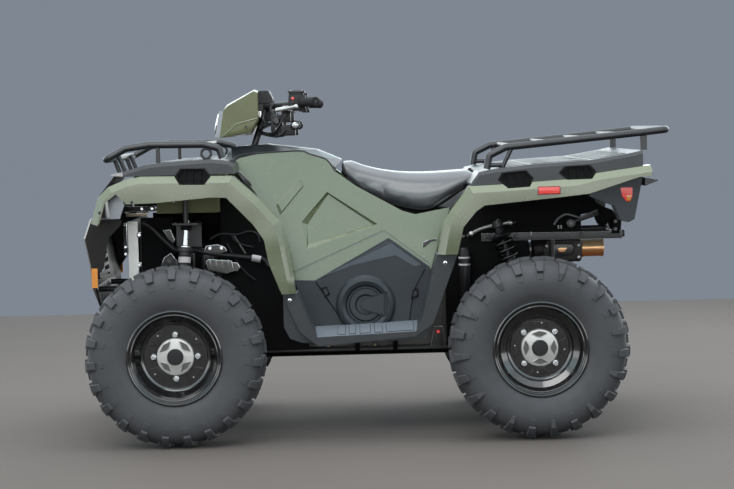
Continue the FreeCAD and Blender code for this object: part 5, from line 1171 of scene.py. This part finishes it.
def make_panel_fittings():
    bm = bmesh.new()
    for side in sides:
        axis = outward * -side
        for x, z in ((-303, 508), (247, 627)):
            button(bm, at(x, side * 520, z), axis, 8, 0, 1)
        slab(bm, clip_outline, side * 252, side * 260.5, 0.6, 1)
        lathe(bm, at(206, side * 252, 680), axis, [(4, 0), (4, 6)], 16, 1)
        # The facet plate's paler colour is painted light from the sky.
        slab(bm, upper_facet, side * 294, side * 297.2, 0, 4)
        seam = [(x, side * (203.4 + 0.161 * (1030 - z)), z) for x, z in panel_seam]
        tube(bm, seam, 2.4, 8, 1, 6)
        # The slots are flat near-black plates: painted shade of the openings.
        for outline in (front_slot, rear_slot):
            slab(bm, outline, side * 295.2, side * 296.8, 0, 3)
            middle = Vector((sum(p[0] for p in outline) / 4, sum(p[1] for p in outline) / 4))
            small = [tuple(middle + (Vector(p) - middle) * 0.55) for p in outline]
            slab(bm, small, side * 296, side * 297.2, 0, 2)
        button(bm, at(62, side * 290, 686), axis, 7, 2, 1)
        slab(bm, fender_strip, side * 216, side * 222, 1, 1)
        bolt(bm, at(-420, side * 222, 868), axis, 4, 0)
        for x, z in ((-960, 834), (-846, 868), (-700, 862)):
            button(bm, at(x, side * 545, z), axis, 5, 1, 1)
    kinds = ["bright_steel", "gloss_dark", "panel_black", "painted_shade_black", "facet_painted_light"]
    piece("panel_fittings", bm, kinds, "chassis")


front_deck_line = [(-764, 1001.3), (-570, 1011.2)]
rear_deck_line = [(440, 954.2), (552, 965.1)]
rear_deck_back = [(560, 966.2), (764, 975.4)]
rear_deck_tail = [(776, 977.1), (900, 995.7)]


rib_spacing = 62
rib_half_width = 19
ribs_each_side = 7


def make_deck_ribs(name, lines):
    bm = bmesh.new()
    for (x1, z1), (x2, z2) in lines:
        for number in range(-ribs_each_side, ribs_each_side + 1):
            y = number * rib_spacing
            outline = [(x1, z1 - 1), (x2, z2 - 1), (x2 - 4, z2 + 1.8), (x1 + 4, z1 + 1.8)]
            slab(bm, outline, y - rib_half_width, y + rib_half_width, 0.9)
    piece(name, bm, "deck_grey", "chassis")


make_panel_fittings()
make_deck_ribs("front_deck_ribs", [front_deck_line])
make_deck_ribs("rear_deck_ribs", [rear_deck_line, rear_deck_back, rear_deck_tail])


# Lamps

headlight_inner = [(-987.75, 806.3), (-985.7, 860.1), (-967, 892.7), (-925.4, 902.3), (-925.4, 806.3)]
headlight_outer = [(-935.75, 806.3), (-944.1, 873.5), (-904.6, 902.3), (-883.75, 859.1), (-902.5, 806.3)]
headlight_steps = 12


def make_headlights():
    """Faceted bowls, black towards the nose."""
    bm = bmesh.new()
    for side in sides:
        rows = []
        for step in range(headlight_steps + 1):
            share = step / headlight_steps
            dip = 2.5 if step % 2 and step > 4 else 0.0
            y = side * (194 + 240 * share)
            row = []
            for (x1, z1), (x2, z2) in zip(headlight_inner, headlight_outer):
                x = x1 + (x2 - x1) * share + dip
                z = z1 + (z2 - z1) * share - dip * 0.4
                row.append(bm.verts.new(at(x, y, z)))
            rows.append(row)
        for step, (first, second) in enumerate(zip(rows, rows[1:])):
            ring_faces(bm, first, second, 1 if step < 4 else 0)
        bm.faces.new(rows[0]).material_index = 1
        bm.faces.new(rows[-1]).material_index = 0
        brow = [(x, side * 436, z) for x, z in headlight_outer[1:4]]
        tube(bm, brow, 2.4, 10, 1, 2)
    kinds = ["lamp_silver", "gloss_dark"]
    piece("headlight_units", bm, kinds, "chassis", 12, ["headlights"])


tail_lens_outline = [(871, 876), (913, 876), (912.5, 846), (905, 827), (891, 828), (876, 846)]
tail_amber_outline = [(891, 850), (911, 850), (905, 829), (893, 830)]
marker_low = (577.25, 863.0)
marker_high = (651.25, 886.0)


def make_tail_lamps():
    bm = bmesh.new()
    for side in sides:
        slab(bm, tail_lens_outline, side * 500.3, side * 504.2, 1.2, 0)
        slab(bm, tail_amber_outline, side * 503.6, side * 505.2, 0.6, 1)
        for rib in range(4):
            z = 855 + rib * 5.4
            side_brick(bm, side, (876, 504, z), (909, 505.2, z + 1.6), 0.3, 0)
        (x1, z1), (x2, z2) = marker_low, marker_high
        side_brick(bm, side, (x1 - 3, 557.2, z1 - 3), (x2 + 3, 559.2, z2 + 3), 0.6, 2)
        side_brick(bm, side, (x1, 558.4, z1), (x2, 562.2, z2), 1.2, 0)
    kinds = ["red_lens", "amber_lens", "gloss_dark"]
    piece("tail_lamps", bm, kinds, "chassis", 30, ["rear_lenses"])


make_headlights()
make_tail_lamps()


# Pod and handlebar fittings

pod_crease = [(-546, 1087), (-521, 1107), (-500, 1130), (-417.5, 1151), (-417.5, 1147), (-446, 1103)]


def make_pod_fittings():
    bm = bmesh.new()
    for side in sides:
        slab(bm, pod_crease, side * 149, side * 153, 1.8, 0)
        tube(bm, [(x, side * 151.5, z + 2) for x, z in pod_crease[:4]], 2.6, 8, 2, 1)
        lathe(bm, at(-461, side * 152, 1123), outward * -side, [(5, 0), (5, 2.2)], 20, 1)
        lathe(bm, at(-457, side * 152, 1117), outward * -side, [(2.4, 0), (2.4, 2)], 16, 1)
    piece("pod_fittings", bm, ["pod_green", "gloss_dark", "body_green"], "handlebar")


pod_lamp_section = [(-577.25, 1085), (-558.6, 1183), (-543.4, 1183), (-558.6, 1085)]


def make_pod_lamp():
    bm = bmesh.new()
    rows = []
    for step in range(17):
        y = -120 + step * 15
        dip = 2.2 if step % 2 else 0.0
        row = [bm.verts.new(at(x + dip, y, z)) for x, z in pod_lamp_section[:2]]
        rows.append(row + [bm.verts.new(at(x, y, z)) for x, z in pod_lamp_section[2:]])
    skinned(bm, rows)
    face_axis = Vector((-98, 0, 18.6)).normalized()
    bowl = [(40, 0), (40, 4), (36, 6), (30, 3), (12, 2.4), (10, 5)]
    for y in (-62, 62):
        lathe(bm, at(-569.5, y, 1134), face_axis, bowl, 40, 1)
    kinds = ["lamp_silver", "bright_steel"]
    piece("pod_lamp_unit", bm, kinds, "handlebar", 12, ["pod_lamp"])


# Low corner, high corner, softening and material of each block
control_blocks = [
    ((-298, 226, 1180), (-236, 264, 1232), 4, 0), ((-296, 228, 1230), (-242, 262, 1244), 3, 0),
    ((-299, 225, 1241), (-239, 265, 1249.5), 2, 2), ((-262, 229, 1172.5), (-232.5, 261, 1184), 2, 0),
    ((-322, 236, 1174), (-292, 262, 1198), 4, 1), ((-366, 172, 1098), (-322, 222, 1164), 9, 0),
    ((-330, 184, 1086), (-276, 232, 1126), 8, 0), ((-326, 196, 1136), (-292, 236, 1176), 7, 0),
]
lever_line = [
    (-290, 250, 1190), (-318, 268, 1184), (-340, 290, 1180), (-322, 322, 1181), (-290, 358, 1186),
    (-268, 388, 1190),
]

# Radius, sides, material and places of each cable
bar_cables = [
    (5, 12, 0, [
        (-312, 232, 1108), (-336, 226, 1086), (-372, 170, 1088), (-408, 90, 1096), (-424, 14, 1096),
    ]),
    (4, 12, 0, [(-352, 214, 1160), (-366, 200, 1186), (-352, 190, 1204)]),
    (4.4, 12, 2, [
        (-292, 236, 1176), (-318, 232, 1150), (-352, 220, 1100), (-384, 150, 1096), (-414, 20, 1104),
    ]),
    (3.4, 10, 0, [(-330, 196, 1124), (-345, 150, 1096), (-392, 80, 1094), (-424, 24, 1092)]),
    (3.4, 10, 0, [(-300, 240, 1180), (-340, 190, 1150), (-396, 100, 1120), (-418, 22, 1108)]),
    (4.5, 10, 0, [(-352, 200, 1140), (-380, 150, 1128), (-400, 110, 1150), (-392, 92, 1184)]),
]


def make_controls():
    bm = bmesh.new()
    for side in sides:
        axis = Vector((0, side, 0))
        for low, high, soft, material in control_blocks:
            side_brick(bm, side, low, high, soft, material)
        for x in (-290, -248):
            button(bm, at(x, side * 245, 1249.5), upward, 3.4, 1, 0)
        for z, material in ((1194, 2), (1208, 2), (1221, 3)):
            lathe(bm, at(-282, side * 264, z), axis, [(5.4, 0), (5.4, 3), (4, 4.5)], 20, material)
        line = [at(*p) for p in smooth_line(hung(lever_line, side), 8)]
        radii = []
        for index in range(len(line)):
            share = index / (len(line) - 1)
            radii.append((9.0 - 3.6 * share) * mm)
        swept(bm, line, radii, 16, 1)
        lathe(bm, line[-1], line[-1] - line[-2], [(3, -5), (7.5, -2), (8, 3), (4, 8)], 20, 1)
        lathe(bm, at(-276, side * 200, 1124), axis, [(10, 0), (17, 3), (17, 40), (14, 44), (6, 46)], 32, 0)
        lathe(bm, at(-276, side * 243, 1124), axis, [(12, 0), (12, 3), (8, 6), (3, 7)], 28, 1)
        lathe(bm, at(-344, side * 222, 1140), axis, [(13, -2), (13, 2), (9, 5)], 28, 2)
        button(bm, at(-344, side * 226, 1112), axis, 5, 1, 0)
        lay_lines(bm, bar_cables, side)
    brick(bm, (-408, -46, 1140), (-352, 46, 1180), 5, 0)
    brick(bm, (-404, -40, 1178), (-366, 40, 1209), 4, 0)
    for x in (-398, -374):
        for y in (-28, 28):
            bolt(bm, at(x, y, 1209), upward, 5, 1)
    kinds = ["control_black", "hub_silver", "gloss_dark", "red_lens"]
    piece("control_clusters", bm, kinds, "handlebar", 35, ["hand_controls"])


grip_end = (-195.9, 395.2)


def make_grip_sleeves():
    bm = bmesh.new()
    for side in sides:
        foot = at(-246.9, side * 281.0, 1206)
        top = at(grip_end[0], side * grip_end[1], 1206)
        axis = top - foot
        length = axis.length / mm
        profile = [(12, 0), (20, 0.5), (20.5, 2), (20, 5), (15.2, 7)]
        for ring in range(14):
            start = 9 + ring * (length - 18) / 14
            profile += [(15.2, start), (16.4, start + 1.5), (16.4, start + 4.2), (15.2, start + 5.6)]
        profile += [(16.6, length - 6), (17, length - 3), (15, length - 0.4), (6, length)]
        lathe(bm, foot, axis, profile, 36, 0)
        lathe(bm, foot, axis, [(5.4, length - 1), (5.4, length + 0.3)], 20, 1)
    kinds = ["grip_rubber", "gloss_dark"]
    piece("grip_sleeves", bm, kinds, "handlebar", 40, ["grips"])


def make_gauge_face():
    bm = bmesh.new()
    low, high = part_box("gauge")
    slope = Vector((0.65 * 46, 0, 0.28 * 52)).normalized()
    place = Vector((high.x - 0.007, 0, low.z + 0.0255))
    lathe(bm, place, slope, [(28, -4), (28, 1), (26, 2.4), (24, 1.6), (2, 1.6)], 48, 0)
    for step in range(21):
        turn = math.radians(-120 + step * 12)
        arm = Vector((-slope.z, 0, slope.x)) * math.cos(turn) + Vector((0, 1, 0)) * math.sin(turn)
        mark = 0.9 if step % 5 else 1.6
        lathe(bm, place + arm * 0.020, slope, [(mark, 1), (mark, 2)], 8, 1)
    lathe(bm, place, slope, [(4, 1), (3.4, 3)], 20, 0)
    piece("gauge_face", bm, ["gloss_dark", "pale_band"], "handlebar")


make_pod_fittings()
make_pod_lamp()
make_controls()
make_grip_sleeves()
make_gauge_face()


# Seat

seat_start_x = -112.95
seat_run = 495.0
seat_foot_z = 800.0
seat_rise = 194.0
seat_stations = [
    (0.004, 101.0, 0.74, 0.975), (0.05, 108.0, 0.63, 0.965), (0.15, 118.0, 0.40, 0.85),
    (0.30, 138.0, 0.18, 0.75), (0.48, 165.0, 0.03, 0.69), (0.66, 181.0, 0.01, 0.68),
    (0.85, 186.0, 0.30, 0.70), (0.96, 182.0, 0.50, 0.71), (0.995, 176.0, 0.57, 0.69),
]
seat_section = [
    (0.0, 0.0), (0.86, 0.0), (0.97, 0.05), (1.0, 0.22), (1.0, 0.52), (0.965, 0.74), (0.88, 0.89),
    (0.72, 0.97), (0.4, 1.0), (0.0, 1.005),
]


def seat_shell():
    bm = bmesh.new()
    half = smooth_line(seat_section, 3)
    ring = half + [(-y, z) for y, z in half[-2:0:-1]]
    rows = []
    for along, width, low, high in smooth_line(seat_stations, 6):
        x = seat_start_x + along * seat_run
        foot = seat_foot_z + low * seat_rise
        top = seat_foot_z + high * seat_rise
        rows.append([bm.verts.new(at(x, width * sy, foot + sz * (top - foot))) for sy, sz in ring])
    skinned(bm, rows)
    bmesh.ops.recalc_face_normals(bm, faces=bm.faces)
    return bm


cushion_voxel = 7 * mm
cushion_pressure = 3.0
cushion_reach = 6 * mm
cloth_frames = 14


def pad_out(made):
    """Fills a cushion by cloth simulation, each point kept within a reach of where it began."""
    scene = bpy.context.scene
    remesh = made.modifiers.new("remesh", "REMESH")
    remesh.mode = "VOXEL"
    remesh.voxel_size = cushion_voxel
    shaped = bpy.data.meshes.new_from_object(made.evaluated_get(bpy.context.evaluated_depsgraph_get()))
    made.modifiers.clear()
    made.data = shaped
    start = [vertex.co.copy() for vertex in shaped.vertices]
    cloth = made.modifiers.new("cloth", "CLOTH")
    cloth.settings.effector_weights.gravity = 0.0
    cloth.settings.use_pressure = True
    cloth.settings.uniform_pressure_force = cushion_pressure
    for step in range(1, cloth_frames + 1):
        scene.frame_set(step)
    blown = bpy.data.meshes.new_from_object(made.evaluated_get(bpy.context.evaluated_depsgraph_get()))
    made.modifiers.clear()
    for vertex, place, first in zip(shaped.vertices, blown.vertices, start):
        shift = place.co - first
        if shift.length > cushion_reach:
            shift = shift.normalized() * cushion_reach
        vertex.co = first + shift
    scene.frame_set(1)


def make_seat():
    bm = seat_shell()
    mesh = bpy.data.meshes.new("seat_shell")
    bm.to_mesh(mesh)
    bm.free()
    made = bpy.data.objects.new("seat_cushion", mesh)
    bpy.context.scene.collection.objects.link(made)
    bpy.context.view_layer.update()
    pad_out(made)
    work = bmesh.new()
    work.from_mesh(made.data)
    axes = {"use_axis_x": True, "use_axis_y": True, "use_axis_z": True}
    for _ in range(3):
        bmesh.ops.smooth_vert(work, verts=work.verts, factor=0.5, **axes)
    work.to_mesh(made.data)
    work.free()
    made.data.materials.clear()
    made.data.materials.append(materials["seat_vinyl"])
    made.data.shade_smooth()
    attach(made, "chassis")
    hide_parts("seat")


tub_line = [
    (-96, 930), (-36, 884), (38, 842), (126, 813), (214, 809), (306, 862), (366, 900), (380, 880),
    (380, 760), (330, 705), (-60, 705), (-110, 860),
]
skirt_outline = [
    (196, 812), (290, 800), (372, 812), (384, 850), (384, 908), (366, 902), (306, 868), (250, 836),
]


def make_seat_base():
    """Black base pan whose edge shows under the cushion, with the tongue at the nose; its near-black also
    paints the shadow gap under the seat.
    """
    bm = bmesh.new()
    for side in sides:
        line = []
        for along, width, low, _ in smooth_line(seat_stations, 4):
            z = seat_foot_z + low * seat_rise + 5
            line.append(at(seat_start_x + along * seat_run, side * (width - 7), z))
        swept(bm, line, 6 * mm, 12, 0)
        slab(bm, skirt_outline, side * 158, side * 179, 7, 1)
        for rib in range(8):
            x = -50 + rib * 52
            side_brick(bm, side, (x, 148, 716), (x + 5, 154, 800), 1, 0)
    slab(bm, tub_line, -150, 150, 5, 0)
    piece("seat_base", bm, ["painted_shade_black", "seat_vinyl"], "chassis")


make_seat()
make_seat_base()


# Camera, floor and light

def add_camera():
    """The camera fitted to the photo: turned by yaw, then pitch, then roll."""
    cy, sy = math.cos(camera_yaw), math.sin(camera_yaw)
    cp, sp = math.cos(camera_pitch), math.sin(camera_pitch)
    ahead = Vector((sy * cp, cy * cp, -sp))
    across = Vector((cy, -sy, 0))
    up = across.cross(ahead)
    cr, sr = math.cos(camera_roll), math.sin(camera_roll)
    turned_across = cr * across + sr * up
    turned_up = -sr * across + cr * up
    data = bpy.data.cameras.new("camera")
    data.sensor_width = sensor_width
    data.lens = focal_pixels / photo_width * sensor_width
    camera = bpy.data.objects.new("camera", data)
    facing = Matrix((turned_across, turned_up, -ahead)).transposed().to_4x4()
    camera.matrix_world = Matrix.Translation(camera_place) @ facing
    bpy.context.scene.collection.objects.link(camera)
    bpy.context.scene.camera = camera


floor_reach = 5.0
floor_half = 14


def add_floor():
    bm = bmesh.new()
    bmesh.ops.create_grid(bm, x_segments=2, y_segments=2, size=floor_half)
    bmesh.ops.translate(bm, verts=bm.verts, vec=(0, floor_reach - floor_half, 0))
    mesh = bpy.data.meshes.new("floor")
    bm.to_mesh(mesh)
    bm.free()
    floor = bpy.data.objects.new("floor", mesh)
    bpy.context.scene.collection.objects.link(floor)
    f = Finish("floor_paper", roughness=0.9)
    f.put("base color", f.blend(f.noise(1.5, 2), srgb(84, 79, 75), srgb(92, 87, 83)))
    mesh.materials.append(f.material)


def add_light(name, place, target, size, power, colour=(1, 1, 1), mirrored=True):
    data = bpy.data.lights.new(name, "AREA")
    data.shape = "RECTANGLE"
    data.size, data.size_y = size
    data.energy = power
    data.color = colour
    light = bpy.data.objects.new(name, data)
    light.location = place
    light.visible_glossy = mirrored
    light.rotation_euler = (Vector(target) - Vector(place)).to_track_quat("-Z", "Y").to_euler()
    bpy.context.scene.collection.objects.link(light)


# What glossy faces reflect, from straight down (0) through the horizon (0.5) to straight up (1)
sky_bands = [
    (0.0, (0.05, 0.045, 0.04)), (0.42, (0.12, 0.11, 0.10)), (0.482, (1.3, 1.3, 1.3)),
    (0.51, (3.0, 3.05, 3.05)), (0.56, (3.1, 3.2, 3.25)), (0.60, (1.4, 1.6, 1.65)), (0.665, (1.6, 2.1, 2.3)),
    (0.74, (1.2, 1.35, 1.4)), (0.86, (1.7, 1.8, 1.9)), (1.0, (2.4, 2.5, 2.6)),
]


sky_colour = (0.76, 0.84, 0.94, 1)
sky_strength = 0.34
backdrop_colour = (0.21, 0.243, 0.287, 1)


def add_world():
    """Soft sky for the light, bands for what is mirrored, a plain backdrop for the camera."""
    world = bpy.data.worlds.new("studio")
    bpy.context.scene.world = world
    world.use_nodes = True
    tree = world.node_tree
    shade = tree.nodes["Background"]
    shade.inputs["Color"].default_value = sky_colour
    shade.inputs["Strength"].default_value = sky_strength
    place = tree.nodes.new("ShaderNodeTexCoord")
    parts = tree.nodes.new("ShaderNodeSeparateXYZ")
    tree.links.new(place.outputs["Generated"], parts.inputs[0])
    height = tree.nodes.new("ShaderNodeMath")
    height.operation = "MULTIPLY_ADD"
    tree.links.new(parts.outputs["Z"], height.inputs[0])
    height.inputs[1].default_value = 0.5
    height.inputs[2].default_value = 0.5
    bands = tree.nodes.new("ShaderNodeValToRGB")
    tree.links.new(height.outputs[0], bands.inputs[0])
    stops = bands.color_ramp.elements
    while len(stops) < len(sky_bands):
        stops.new(0.5)
    for stop, (where, colour) in zip(stops, sky_bands):
        stop.position = where
        stop.color = (*colour, 1)
    mirrored = tree.nodes.new("ShaderNodeBackground")
    tree.links.new(bands.outputs[0], mirrored.inputs["Color"])
    mirrored.inputs["Strength"].default_value = 1.0
    seen = tree.nodes.new("ShaderNodeBackground")
    seen.inputs["Color"].default_value = backdrop_colour
    path = tree.nodes.new("ShaderNodeLightPath")
    glossy = tree.nodes.new("ShaderNodeMixShader")
    tree.links.new(path.outputs["Is Glossy Ray"], glossy.inputs[0])
    tree.links.new(shade.outputs[0], glossy.inputs[1])
    tree.links.new(mirrored.outputs[0], glossy.inputs[2])
    mix = tree.nodes.new("ShaderNodeMixShader")
    tree.links.new(path.outputs["Is Camera Ray"], mix.inputs[0])
    tree.links.new(glossy.outputs[0], mix.inputs[1])
    tree.links.new(seen.outputs[0], mix.inputs[2])
    tree.links.new(mix.outputs[0], tree.nodes["World Output"].inputs["Surface"])


add_camera()
add_floor()
add_world()
add_light("key", (-1.8, -4.2, 4.6), (0, 0, 0.6), (5.0, 2.6), 190, (1.0, 0.99, 0.97))
add_light("front_fill", (0.4, -8.5, 1.4), (0, 0, 0.6), (6.0, 2.2), 60, (0.96, 0.98, 1.0))
add_light("top", (0.2, 0.2, 4.6), (0, 0, 0.6), (6.5, 4.5), 330, (0.95, 0.98, 1.0), False)
add_light("back", (3.0, 3.6, 2.6), (0, 0, 0.5), (2.4, 2.0), 60)
scene = bpy.context.scene
scene.view_settings.view_transform = "Standard"

bpy.context.view_layer.update()
